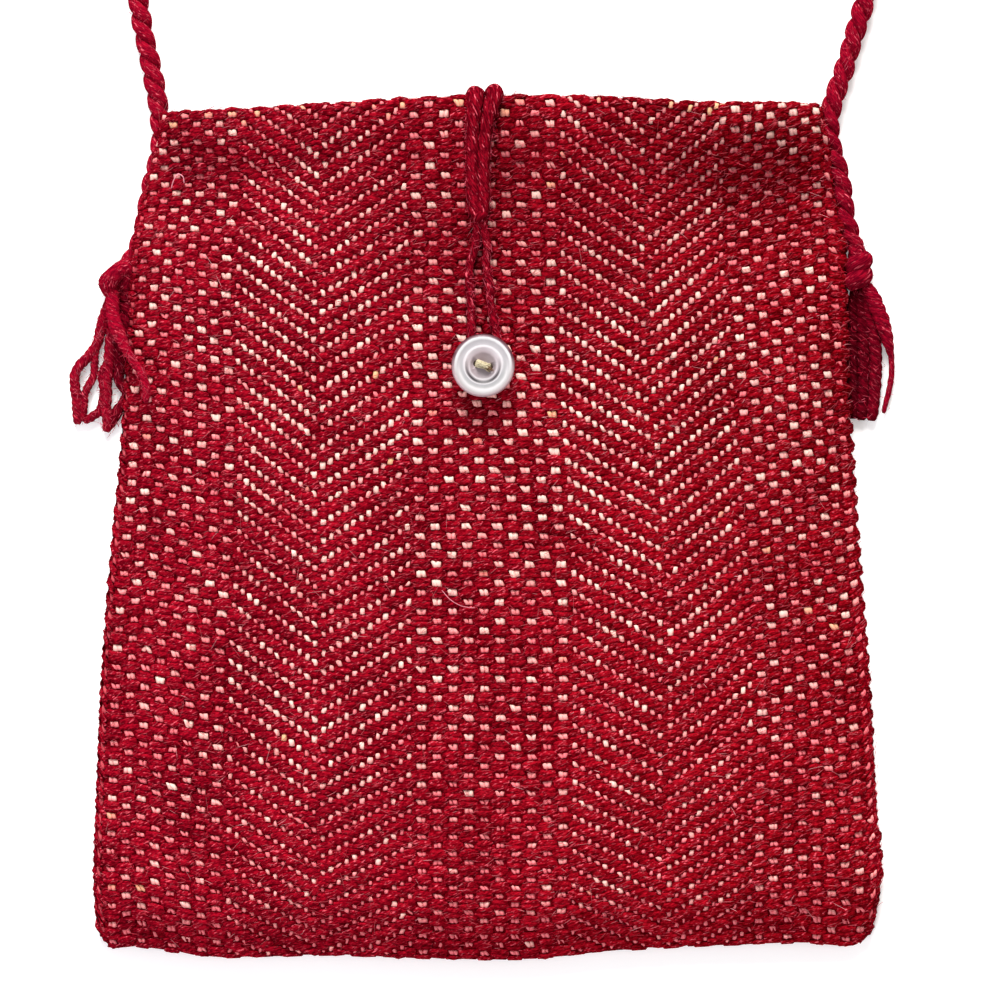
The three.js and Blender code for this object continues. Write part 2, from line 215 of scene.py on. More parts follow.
def yarnMaterial(name, streak, turn, coordinates, deep, pale, fleckGlints, dye=None):
    material, shader, place = newMaterial(name, wool["constants"], coordinates)
    fibre = place.noise(streak, turn).maths("MAXIMUM", place.noise(streak, turn * wool["crossTurn"]))
    patch = place.noise(wool["patchScale"][coordinates], 0, 2)
    streaks = (fibre - wool["streakMiddle"]) * wool["streakContrast"] + wool["streakShare"]
    streaks = streaks + (patch - 0.5) * wool["patchStrength"]
    fine = [part * wool["fleckFineness"] for part in streak]
    one, other = [place.noise(fine, turn * share, 2) for share in wool["fleckTurns"]]
    fleckGlintMask = (one.maths("MAXIMUM", other) - wool["fleckStart"]) * (wool["fleckContrast"] * fleckGlints)
    if dye is None:
        own = place.node("ShaderNodeAttribute", {"attribute_name": "dye"})
        depth = (own.node("ShaderNodeSeparateColor", None, {0: own}) * wool["dyeGain"]).maths("MINIMUM", 1)
        colour = own.scaled(deep).mixed(own.mixed((*wool["bright"], 1), depth * pale), streaks)
        fleckGlintMask = fleckGlintMask * depth  # fewer flecks, pale fibres and painted glints alike, on the deepest dyes
    else:
        dark = [deep * part for part in dye]
        light = [part + pale * (most - part) for part, most in zip(dye, wool["bright"])]
        inputs = {0: streaks, 6: (*dark, 1), 7: (*light, 1)}
        colour = place.node("ShaderNodeMix", {"data_type": "RGBA"}, inputs, 2)
    feed(shader, Base_Color=colour.mixed((*wool["fleckGlint"], 1), fleckGlintMask))
    lift = {"Height": fibre, "Distance": wool["fibreHeight"] * mm, "Strength": wool["fibreStrength"]}
    feed(shader, Normal=place.node("ShaderNodeBump", None, lift))
    return material


# Meshes
def newPiece(name, mesh, material):
    piece = bpy.data.objects.new(name, mesh)
    bpy.context.scene.collection.objects.link(piece)
    mesh.materials.append(material)
    mesh.shade_smooth()
    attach(piece, "root")
    return piece


def finishMesh(shape, name):
    mesh = bpy.data.meshes.new(name)
    shape.to_mesh(mesh)
    shape.free()
    return mesh


def through(keys, values, at):
    # a smooth curve through the values, which may differ from place to place
    keys, at = np.asarray(keys, float), np.clip(at, keys[0], keys[-1])
    k = np.clip(np.searchsorted(keys, at) - 1, 0, len(keys) - 2)
    span = keys[k + 1] - keys[k]
    t = (at - keys[k]) / span

    def taken(table, column):
        table = np.broadcast_to(table, (*k.shape, len(keys)))
        return np.take_along_axis(table, column[..., None], -1)[..., 0]
    slopes = np.gradient(values, keys, axis=-1)
    start = taken(values, k) * (1 + 2 * t) * (1 - t) ** 2 + taken(slopes, k) * span * t * (1 - t) ** 2
    finish = taken(values, k + 1) * t * t * (3 - 2 * t) - taken(slopes, k + 1) * span * t * t * (1 - t)
    return start + finish


def reader(keys, values):
    return lambda at: through(keys, np.asarray(values, float), at)


def columns(rows):
    return [reader([row[0] for row in rows], values) for values in list(zip(*rows))[1:]]


def smoothStep(value, start, end):
    t = np.clip((value - start) / (end - start), 0, 1)
    return t * t * (3 - 2 * t)


def lengthsAlong(path):
    return np.concatenate([[0], np.cumsum(np.linalg.norm(np.diff(path, axis=0), axis=1))])


def smoothPath(points, step, fineStep=0.1):
    # a curve through the points, in even steps
    points = np.asarray(points, float)
    at = lengthsAlong(points)
    fine = np.linspace(0, at[-1], int(at[-1] / fineStep))
    curve = np.stack([reader(at, points[:, k])(fine) for k in range(3)], 1)
    run = lengthsAlong(curve)
    even = np.linspace(0, run[-1], max(round(run[-1] / step), 3) + 1)
    return np.stack([np.interp(even, run, curve[:, k]) for k in range(3)], 1)


def unit(vectors):
    return vectors / np.linalg.norm(vectors, axis=-1, keepdims=True)


def framesAlong(path):
    # side and up vectors that follow the path without turning round it
    tangent = unit(np.gradient(path, axis=0))
    first = np.cross((0, 0, 1), tangent[0])
    if np.linalg.norm(first) < 0.2:  # the path starts nearly upright
        first = np.array((1.0, 0, 0))
    side = [first]
    for direction in tangent:
        side.append(unit(side[-1] - direction * np.dot(side[-1], direction)))
    side = np.array(side[1:])
    return tangent, side, np.cross(tangent, side)


def wave(at, length, strength):
    # slow unevenness along a yarn, from three waves
    phases = chance.uniform(0, 2 * math.pi, 3)
    total = sum(np.sin(2 * math.pi * at / (length * k) + p) for k, p in zip((1, 1.7, 0.6), phases))
    return 1 + strength * total / 2


def anyTurn():
    return chance.uniform(0, 6)  # nearly all the way round


def rolledGrid(shape, around, rings, points, girth, length, dye):
    # a grid rolled into a closed tube, with its own map in millimetres and a dye that may change along it,
    # painted shade included
    grid = bmesh.new()
    layer = grid.loops.layers.uv.new("UVMap")
    colour = grid.verts.layers.float_color.new("dye")
    bmesh.ops.create_grid(grid, x_segments=around, y_segments=rings - 1, size=0.5, calc_uvs=True)
    dyes = np.repeat(np.broadcast_to(dye, (rings, 3)), around + 1, axis=0)
    for vertex, point, tint in zip(grid.verts, points.reshape(-1, 3), dyes):
        vertex.co = point
        vertex[colour] = (*tint, 1)
    for face in grid.faces:
        for corner in face.loops:
            corner[layer].uv = corner[layer].uv * Vector((girth, length))
    bmesh.ops.remove_doubles(grid, verts=grid.verts, dist=1e-7)
    bmesh.ops.holes_fill(grid, edges=[edge for edge in grid.edges if edge.is_boundary])
    bmesh.ops.recalc_face_normals(grid, faces=grid.faces)
    tube = finishMesh(grid, "tube")
    shape.from_mesh(tube)
    bpy.data.meshes.remove(tube)


# Yarn: plies laid round each other
yarn = {
    "plies": {  # by their number: a ply's radius, its place from the middle, its breadth to its thickness
        1: {"thick": 0.5, "reach": 0.0, "spread": 1.0},
        2: {"thick": 0.31, "reach": 0.19, "spread": 1.22},
        3: {"thick": 0.38, "reach": 0.12, "spread": 1.0},
    },
    "thinRange": (0.32, 0.62),  # the share of its length over which a yarn gets thinner
    "waveLength": 1.3,  # of its unevenness, in lays
    "waveStrength": 0.06,
    "floor": 0.04,  # no lower, so it is flat where it lies on the floor
}


def layYarn(shape, path, width, lay, dye, plies=2, sides=10, turn=0.0, ends=1.0, thin=1.0):
    # along the path, rounded to a share at its ends and thinner at the far one
    form = yarn["plies"][plies]
    run = lengthsAlong(path)
    tangent, side, up = framesAlong(path)
    circle = np.linspace(-math.pi, math.pi, sides + 1)
    toEnd = np.clip(np.minimum(run, run[-1] - run) / width, 0, 1)
    taper = ends + (1 - ends) * np.sqrt(toEnd * (2 - toEnd))
    taper = taper * (1 + (thin - 1) * smoothStep(run / run[-1], *yarn["thinRange"]))
    for ply in range(plies):
        angle = turn + 2 * math.pi * (ply / plies - run / lay)
        out = np.cos(angle)[:, None] * side + np.sin(angle)[:, None] * up
        along = np.cross(tangent, out)
        uneven = wave(run, lay * yarn["waveLength"], yarn["waveStrength"])
        thick = width * form["thick"] * taper * uneven
        reach = width * form["reach"] * taper
        outward = reach[:, None] + thick[:, None] * np.cos(circle)
        sideways = form["spread"] * thick[:, None] * np.sin(circle)
        ring = path[:, None] + outward[..., None] * out[:, None] + sideways[..., None] * along[:, None]
        ring[..., 2] = np.maximum(ring[..., 2], yarn["floor"])
        rolledGrid(shape, sides, len(path), ring * mm, 2 * math.pi * thick.mean(), run[-1], dye)


# Strap: one cord from the left knot, round its coil, to the right knot
strap = {
    "width": 6,
    "lay": 11.8,
    "floor": 3.3,
    "step": 0.8,
    "left": [(-103.1, 75.1), (-100.2, 79.6), (-98.6, 84.9), (-97.6, 90.6), (-96.5, 96.3), (-95, 102),
             (-93.8, 107.7), (-93.5, 113.4), (-94, 118.6), (-96.4, 132.3), (-98.4, 141.4), (-99.9, 150.6),
             (-100.6, 166), (-97.5, 184), (-89, 202), (-74, 218), (-54, 230), (-36, 236), (-21, 238.6)],
    "right": [(21.3, 238.6, 6.3), (40, 236.5, 4.9), (61, 230, 3.7), (82, 218), (98, 202), (107.5, 184),
              (110.5, 166), (108.2, 150.6), (105.4, 141.4), (102.7, 132.3), (98.5, 118.6), (98.2, 113.4),
              (99.2, 107.7), (101, 101), (102.1, 94), (103.2, 86.5), (105.8, 79.9)],
    "coilMiddle": (0, 204),
    "coilTurns": 3,
    "turnPoints": 16,
    "outerTurn": 34.5,
    "coilSteps": [  # the turns between which the coil's radius and height change, and what they come to
        (0.72, 1, 28.5, 3.3), (1.72, 2, 31.5, 8.6), (2.75, 3, 34.5, 9.2)],
    "dye": (0.3, 0.002, 0.02),
    "paintedShade": (0.92, 0.78, 0.66),  # painted shade: how far the dye is darkened at the left, at the right and beside the bag at the right
    "shadeAcross": (-60, 60),
    "shadeDown": (122, 108),
}


def strapPath():
    s = strap
    t = np.arange(s["coilTurns"] * s["turnPoints"] + 1) / s["turnPoints"]
    radius, height = s["outerTurn"], s["floor"]
    lastRadius, lastHeight = radius, height
    for start, end, nextRadius, nextHeight in s["coilSteps"]:
        change = smoothStep(t, start, end)
        radius = radius + (nextRadius - lastRadius) * change
        height = height + (nextHeight - lastHeight) * change
        lastRadius, lastHeight = nextRadius, nextHeight
    angle = math.pi / 2 - 2 * math.pi * t
    x, y = s["coilMiddle"]
    coil = np.stack([x + radius * np.cos(angle), y + radius * np.sin(angle), height], 1)
    legs = [[(*p, s["floor"])[:3] for p in s[leg]] for leg in ("left", "right")]
    return smoothPath([*legs[0], *coil, *legs[1]], s["step"])


def makeStrap(material):
    path = strapPath()
    left, right, beside = strap["paintedShade"]
    # painted shade: the cord gets darker towards the right, and darker still beside the bag
    toRight = smoothStep(path[:, 0], *strap["shadeAcross"])
    low = smoothStep(path[:, 1], *strap["shadeDown"])
    paintedShade = left + (right + (beside - right) * low - left) * toRight
    dye = paintedShade[:, None] * strap["dye"]
    shape = bmesh.new()
    layYarn(shape, path, strap["width"], strap["lay"], dye, sides=12, turn=0.6, ends=0.8)
    piece = newPiece("strapCord", finishMesh(shape, "strapCord"), material)
    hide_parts("strap_left", "strap_coil", "strap_right")
    return piece, path


# Tassels: the strap's end knotted, and its yarns loose below the knot
tassels = {
    "leftTassel": {
        "node": "tassel_left",
        "knot": [
            (-101.8, 75.4, 4), (-104.2, 74.3, 5.6), (-107.2, 71.9, 6.2), (-109, 70, 4.6), (-108, 68.6, 2.6),
            (-104.3, 69.4, 2.5), (-102.4, 72, 3.6), (-103.6, 74, 5.6), (-106.8, 72, 6.4), (-108.4, 69.4, 5),
            (-107.6, 66.6, 3.2)],
        "knotWidth": 5,
        "knotPaintedShade": 0.8,
        "strands": [  # width, share left at the tip, painted shade (how far its dye is darkened), and the route
            (3.2, 1, 0.8, [
                (-107.6, 67.6, 3), (-108.4, 64.5), (-109.8, 60.6), (-110.9, 57), (-111.7, 52.9),
                (-114.1, 49.2), (-117, 46.2), (-118.3, 43.6), (-118.2, 40), (-117.7, 36.5), (-117.5, 32.5),
                (-117.5, 29.4)]),
            (2.5, 1, 0.78, [
                (-107, 67.6, 3), (-108.8, 60), (-110.9, 54.6), (-112.4, 50.2), (-112.6, 46.7),
                (-112.9, 43.2), (-114.5, 40.2), (-115.5, 37.8), (-115.6, 35.6), (-115.8, 33.2),
                (-116.4, 30.2)]),
            (4, 0.9, 0.88, [
                (-106.6, 67.6, 3), (-107, 60), (-107.7, 54), (-108.2, 49), (-108.6, 45.2), (-109.3, 41.4),
                (-109.2, 38.2), (-109.4, 36), (-109.5, 33.6), (-108.7, 31), (-108.8, 29.2),
                (-109.3, 27.2)]),
            (2.8, 1, 0.7, [
                (-106.9, 66, 3), (-107, 58), (-107.9, 51), (-108.9, 47), (-110.5, 43.6), (-110.1, 40.5),
                (-109.9, 38), (-110.4, 35.6), (-111, 33.4), (-113, 31.8), (-115.8, 30.2)]),
            (6.2, 0.56, 0.42, [
                (-104.6, 68.4, 3), (-103.6, 65.4), (-103.2, 62), (-103.6, 57), (-104.6, 51), (-105.2, 46.5),
                (-105.6, 43.6), (-105.5, 41.9), (-103.9, 39.8), (-103.3, 37.9), (-104.4, 35.4),
                (-106.2, 33), (-107.2, 30.8), (-108.5, 28.6)]),
            (4.2, 0.6, 1.05, [
                (-107.2, 68.5, 4.6), (-107.2, 61.5, 6), (-105, 54.5, 8), (-101.6, 48.2, 10.4),
                (-98.2, 43, 12.4), (-97.1, 38.6, 13.2), (-97.4, 35.4, 13.2)]),
        ],
    },
    "rightTassel": {
        "node": "tassel_right",
        "knot": {"middle": (106.5, 73.4, 4.3), "turns": 2, "start": 0.5, "radius": 1.2, "pitch": 4.4,
                 "lean": -0.1},
        "knotWidth": 6,
        "knotPaintedShade": 0.6,
        "strands": [  # first the neck that runs into the knot
            (6, 1, 0.66, [(105.2, 81.5, 3.4), (106, 78, 3.6), (106.6, 74, 3.8)]),
            (4.3, 0.95, 0.2, [(105.9, 68.5, 2.8), (104.9, 61), (104.7, 52), (104.8, 42), (105, 31)]),
            (4.3, 0.95, 0.27, [
                (106.9, 68.5, 2.8), (107.2, 62), (107.8, 54), (108.1, 46), (107.9, 38), (107.3, 30.6)]),
            (4.3, 0.95, 0.4, [
                (107.8, 68.5, 2.8), (109.3, 62), (110.7, 56), (111.4, 50), (111.3, 44), (111, 38),
                (110.2, 30.4)]),
            (4.7, 0.38, 0.72, [
                (108.6, 69.5, 3.6), (110.7, 65.4, 3.6), (112.5, 61, 3.4), (113.9, 57, 3.2),
                (115.1, 52.5, 2.8), (116, 48), (116, 43.5), (115.5, 40), (114.5, 36), (113.7, 32.6)]),
        ],
    },
    "knotLay": 30,
    "knotStep": 0.5,
    "strandLay": 6,  # of a strand of the next width
    "layWidth": 3.4,
    "strandFloor": 1.7,
    "strandStep": 0.7,
}


def knotPath(middle, turns, radius, pitch, lean, start=0.0, turnPoints=14):
    # the cord wound round itself, up the strap
    t = np.linspace(-turns / 2, turns / 2, int(turns * turnPoints) + 1)
    angle = 2 * math.pi * (t + start)
    wound = np.stack([radius * np.sin(angle), pitch * t, radius * np.cos(angle)], 1)
    cos, sin = math.cos(lean), math.sin(lean)
    return wound @ np.array([[cos, -sin, 0], [sin, cos, 0], [0, 0, 1]]).T + middle


def makeTassel(name, material):
    tassel = tassels[name]
    dye = np.array(strap["dye"])
    shape = bmesh.new()
    knot, width = tassel["knot"], tassel["knotWidth"]
    path = smoothPath(knotPath(**knot) if isinstance(knot, dict) else knot, tassels["knotStep"])
    # painted shade darkens the knot's dye, and each strand's dye by its own share
    layYarn(shape, path, width, tassels["knotLay"], dye * tassel["knotPaintedShade"], plies=1, sides=14, ends=0.6)
    paths = [(path, width)]
    for width, thin, paintedShade, strand in tassel["strands"]:
        path = smoothPath([(*p, tassels["strandFloor"])[:3] for p in strand], tassels["strandStep"])
        lay = tassels["strandLay"] * width / tassels["layWidth"]
        layYarn(shape, path, width, lay, dye * paintedShade, plies=3, sides=9, turn=anyTurn(), ends=0.5, thin=thin)
        paths.append((path, width * (1 + thin) / 2))
    piece = newPiece(name, finishMesh(shape, name), material)
    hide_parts(tassel["node"])
    return piece, paths


# Cloth: one long weave, folded at the bottom and sewn at the sides; end counts the warp, pick the weft
cloth = {
    "ends": 104,
    "selvedge": 4,  # ends beyond these at each side, always under the weft
    "frontPicks": 181,
    "nosePicks": 8,
    "hemPicks": 6,
    "hemRadius": 1.4,
    "noseDepth": 3.3,
    "skin": 0.78,  # from the yarns' middles to their crowns
    "floorGap": 0.04,
    "fullHeight": 13,
    "seamHeight": 6,
    "tuckedLift": (4, 2),  # of the seam over the strap, at the left and at the right
    "tuckDepth": (4.2, 3),
    "shoulder": 26,
    "troughReach": (0.46, 0.72),  # up to the hem and down the front, as shares of how far down it lies
    "foldShoulder": 20,
    "scallop": 0.35,  # of the side edges, once in four picks
    "rimWidth": 1.7,
    "rimDepth": 2.4,
    "rimRadius": 2.2,
    "mostWrap": 1.7,  # how far the ends turn round a side, in radians
    "thickness": 1.2,
    "sheetDepth": 0.35,  # of the sheet below the yarns' middles
    "sheetGrid": (60, 210),
    "dye": (0.2, 0.0005, 0.006),
    "sides": [  # y, left, right, how far the strap is tucked under
        (-119, -108.6, 106.4, 0), (-115.6, -111.2, 109.4, 0), (-110, -112.1, 111.4, 0),
        (-104, -112.5, 112.4, 0), (-80, -111.9, 111.4, 0), (-40, -110.2, 108.9, 0), (0, -107.1, 105.8, 0),
        (20, -105.1, 104.6, 0),
        (40, -104, 103.4, 0), (62, -102.8, 103, 0), (72, -102.2, 102.9, 0.5), (80, -101.5, 102.6, 1),
        (95, -98.4, 99.8, 1), (102, -96.4, 98.9, 1), (108, -94.5, 98.4, 1), (113, -93.5, 97.4, 1),
        (119, -93.3, 95.4, 1)],
    "edges": [  # share of the width, top, bottom, depth of the trough below the hem, how far down it lies
        (0, 116.6, -115.4, 0.3, 20), (0.02, 117.5, -119.7, 1, 20), (0.06, 118.2, -119.8, 2.6, 20),
        (0.1, 118.6, -121.1, 3.2, 20), (0.15, 119, -122.6, 3.6, 20), (0.3, 120.7, -122.3, 2, 20),
        (0.45, 122.8, -123.5, 1.1, 20), (0.55, 123.2, -123.4, 1, 21), (0.65, 122.7, -121, 1.6, 23),
        (0.78, 121.2, -119.5, 3.6, 27), (0.9, 121, -118.9, 5.4, 30), (0.96, 120.9, -119.5, 4.2, 30),
        (0.985, 120.2, -118, 2, 30), (1, 118.6, -114.4, 0.3, 30)],
    "beatEnds": (0.5, 16.5, 29.5, 51.5, 73.5, 85, 102.5),
    "beat": [  # share of the way down the front, and how many picks low the rows lie at those ends
        (0, -0.9, -0.5, -0.3, -0.2, -0.4, -2.3, -4.6), (0.04, -1.3, -0.6, 0.2, 0.6, 0.4, -1.4, -4.5),
        (0.074, -1.8, -0.8, 0.6, 1.2, 1, -0.7, -4.4), (0.142, -3, -1.1, 0.4, 1.9, 1.5, -0.3, -4.1),
        (0.211, -3.5, -1.3, 0.3, 2.2, 1.8, -0.3, -3.8), (0.281, -3.5, -1, 0.5, 2.3, 2.4, 0.2, -3),
        (0.353, -3, -0.3, 1.3, 2.2, 2.7, 0.6, -2.4), (0.423, -2.5, 0.2, 1.8, 2.3, 2.8, 1, -1.9),
        (0.493, -2.4, 0.1, 2, 2.4, 2.9, 1.2, -1.7), (0.564, -2.3, 0, 2, 2.5, 3, 1.4, -1.8),
        (0.633, -1.9, 0.3, 2.4, 2.8, 3.4, 1.8, -1.7), (0.702, -1.2, 0.8, 2.8, 3.2, 3.6, 2.2, -1.5),
        (0.77, -0.5, 1.4, 3.3, 3.6, 3.9, 2.6, -1), (0.846, -0.4, 1.1, 2.8, 2.8, 3.1, 2, -1.2),
        (0.924, -0.6, 0.7, 1.8, 1.5, 2.2, 1.2, -1.3), (1, 0, 0, 0, 0, 0, 0, 0)],
    "stripeEnds": (0.5, 16.5, 18, 29, 30, 41, 42.5, 60.5, 62, 73, 74, 85, 86.5, 102.5),
    "stripes": [  # y, then where those ends lie across the bag
        (-112.3, -111.7, -77.4, -73.7, -49.4, -46.9, -22, -18.3, 21.1, 24.6, 49.1, 52, 75.1, 77.7, 111.1),
        (-92.9, -112.1, -77.7, -73.7, -49.4, -46.9, -22, -18.6, 21.7, 24.9, 49.1, 52, 75.1, 77.7, 110.6),
        (-71.4, -111.4, -77.1, -73.4, -49.4, -46.9, -22.3, -18.7, 21.7, 25.1, 49.3, 52.3, 75, 78, 109.7),
        (-50, -110.9, -76.3, -73, -49.1, -46.6, -22.3, -18.6, 21.7, 25.1, 49.4, 52.3, 75.1, 78.7, 108.3),
        (-28.6, -109.6, -76, -72.6, -49.1, -46.6, -22.3, -18.7, 21.7, 25.1, 49.4, 52.3, 74.6, 77.7, 106.6),
        (-7.1, -107.7, -74.3, -70.9, -49.1, -46.6, -22.6, -18.9, 20.9, 24.6, 48.9, 51.4, 73.6, 76.3, 104.3),
        (14.3, -105.6, -73.7, -70.6, -49.4, -46.9, -23.1, -19.6, 19.7, 23.4, 46.9, 49.4, 71.7, 74.6, 102.9),
        (35.7, -105, -73.4, -70.6, -49.4, -47.1, -23.1, -19.7, 18.3, 21.9, 45.3, 47.7, 70, 73.1, 101.4),
        (57.1, -103.1, -74.3, -71.3, -49.6, -47.1, -23.1, -19.7, 18, 21.4, 44.7, 47.1, 68.7, 72, 100.3),
        (78.6, -101.1, -74.3, -70.6, -48.9, -46.3, -22.9, -19.6, 18.3, 21.7, 44.3, 46.6, 67, 70, 99.1),
        (96.3, -98.6, -72.3, -69.1, -48.7, -46.3, -23.7, -20.3, 18.3, 21.7, 44.3, 46.9, 67, 70, 97.9),
        (113.4, -99.7, -72.9, -69.3, -48.9, -46.3, -24.1, -20.9, 18, 21.7, 44.3, 46.9, 67.3, 71.1, 97.4),
    ],
}
leftEdge, rightEdge, tuckAt = columns(cloth["sides"])
topEdge, bottomEdge, troughAt, troughDrop = columns(cloth["edges"])
stripeLines = columns(cloth["stripes"])
beatLines = columns(cloth["beat"])


def endPlace(end, y):
    # where a warp end lies across the bag at a height
    lines = np.stack([line(y) for line in stripeLines], -1)
    marks = np.array(cloth["stripeEnds"])
    k = np.clip(np.searchsorted(marks, end) - 1, 0, len(marks) - 2)
    start = np.take_along_axis(lines, k[..., None], -1)[..., 0]
    finish = np.take_along_axis(lines, k[..., None] + 1, -1)[..., 0]
    return start + (finish - start) * (end - marks[k]) / (marks[k + 1] - marks[k])


def rowDrop(share, end):
    # how many picks low a row lies
    return through(cloth["beatEnds"], np.stack([line(share) for line in beatLines], -1), end)


def swell(share):
    return 1 - (1 - np.clip(share, 0, 1)) ** 2


def frontHeight(x, y):
    left, right = leftEdge(y), rightEdge(y)
    across = np.clip((x - left) / (right - left), 0, 1)
    lift = cloth["tuckedLift"]
    seam = cloth["seamHeight"] + tuckAt(y) * (lift[0] * (1 - across) + lift[1] * across)
    fromSide = swell(np.minimum(x - left, right - x) / cloth["shoulder"])
    fromFold = swell((y - bottomEdge(across)) / cloth["foldShoulder"])
    below = (topEdge(across) - y) / troughDrop(across) - 1
    trough = troughAt(across) * np.exp(-(below / np.where(below < 0, *cloth["troughReach"])) ** 2)
    return seam + (cloth["fullHeight"] - seam) * (fromSide * fromFold) - trough


def clothPoint(end, pick):
    c = cloth
    end, pick = np.broadcast_arrays(np.asarray(end, float), np.asarray(pick, float))
    across = np.clip((end + 1) / (c["ends"] + 1), 0, 1)
    top, bottom = topEdge(across) - c["hemRadius"], bottomEdge(across) + c["noseDepth"]
    pitch = (top - bottom) / c["frontPicks"]
    turned = np.clip((pick - c["frontPicks"]) / c["nosePicks"], 0, 1) * math.pi
    row = pick + rowDrop(pick / c["frontPicks"], end)
    onBack = row - c["frontPicks"] - c["nosePicks"]
    below = np.clip(row, 0, c["frontPicks"]) - np.clip(onBack, 0, c["frontPicks"])
    over = np.maximum(-row, 0) + np.maximum(pick - 2 * c["frontPicks"] - c["nosePicks"], 0)
    roll = np.clip(over * pitch / c["hemRadius"], 0, math.pi)
    inside = np.maximum(over * pitch - math.pi * c["hemRadius"], 0)
    y = top - pitch * below - c["noseDepth"] * np.sin(turned) + c["hemRadius"] * np.sin(roll) - inside
    facing = np.cos(turned)  # 1 on the front, -1 on the back
    flat = endPlace(end, y)
    tuck = tuckAt(y) * (1 - facing) / 2
    left = leftEdge(y) + c["rimWidth"] + c["tuckDepth"][0] * tuck
    x = np.clip(flat, left, rightEdge(y) - c["rimWidth"] - c["tuckDepth"][1] * tuck)
    wrap = np.clip(np.abs(flat - x) / c["rimRadius"], 0, c["mostWrap"])
    front = frontHeight(x, np.clip(y, bottom, top)) - c["skin"]
    back = c["skin"] + c["floorGap"]
    z = (front + back) / 2 + facing * (front - back) / 2
    z = z - facing * (c["hemRadius"] * (1 - np.cos(roll)) + c["rimDepth"] * (1 - np.cos(wrap)))
    outward = np.sign(flat - x)
    notch = c["scallop"] * outward * np.cos(math.pi / 2 * (pick - 0.5))  # where the outermost warp comes up
    return np.stack([x + outward * (c["rimWidth"] + notch) * np.sin(wrap), y, z], -1), wrap


def clothFrame(end, pick, step=0.3):
    # place, directions along weft and warp, the way out, and the wrap round a side
    place, wrap = clothPoint(end, pick)
    along = clothPoint(end + step, pick)[0] - clothPoint(end - step, pick)[0]
    down = clothPoint(end, pick + step)[0] - clothPoint(end, pick - step)[0]
    along, down = unit(along + (1e-6, 0, 0)), unit(down + (0, -1e-6, 0))
    return place, along, down, unit(np.cross(down, along)), wrap


def makeCloth(material):
    c = cloth
    across, rows = c["sheetGrid"]
    last = 2 * c["frontPicks"] + c["nosePicks"] + c["hemPicks"]
    shape = bmesh.new()
    bmesh.ops.create_grid(shape, x_segments=across, y_segments=rows, size=0.5)
    spots = np.array([vertex.co for vertex in shape.verts])
    end = -c["selvedge"] + (spots[:, 0] + 0.5) * (c["ends"] - 1 + 2 * c["selvedge"])
    pick = -c["hemPicks"] + (spots[:, 1] + 0.5) * (last + c["hemPicks"])
    place, _, _, out, _ = clothFrame(end, pick)
    for vertex, point in zip(shape.verts, (place - c["sheetDepth"] * out) * mm):
        vertex.co = point
    bmesh.ops.reverse_faces(shape, faces=shape.faces)
    piece = newPiece("bagCloth", finishMesh(shape, "bagCloth"), material)
    wall = piece.modifiers.new("thickness", "SOLIDIFY")
    wall.thickness, wall.offset = c["thickness"] * mm, -1
    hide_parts("pouch")
    return piece
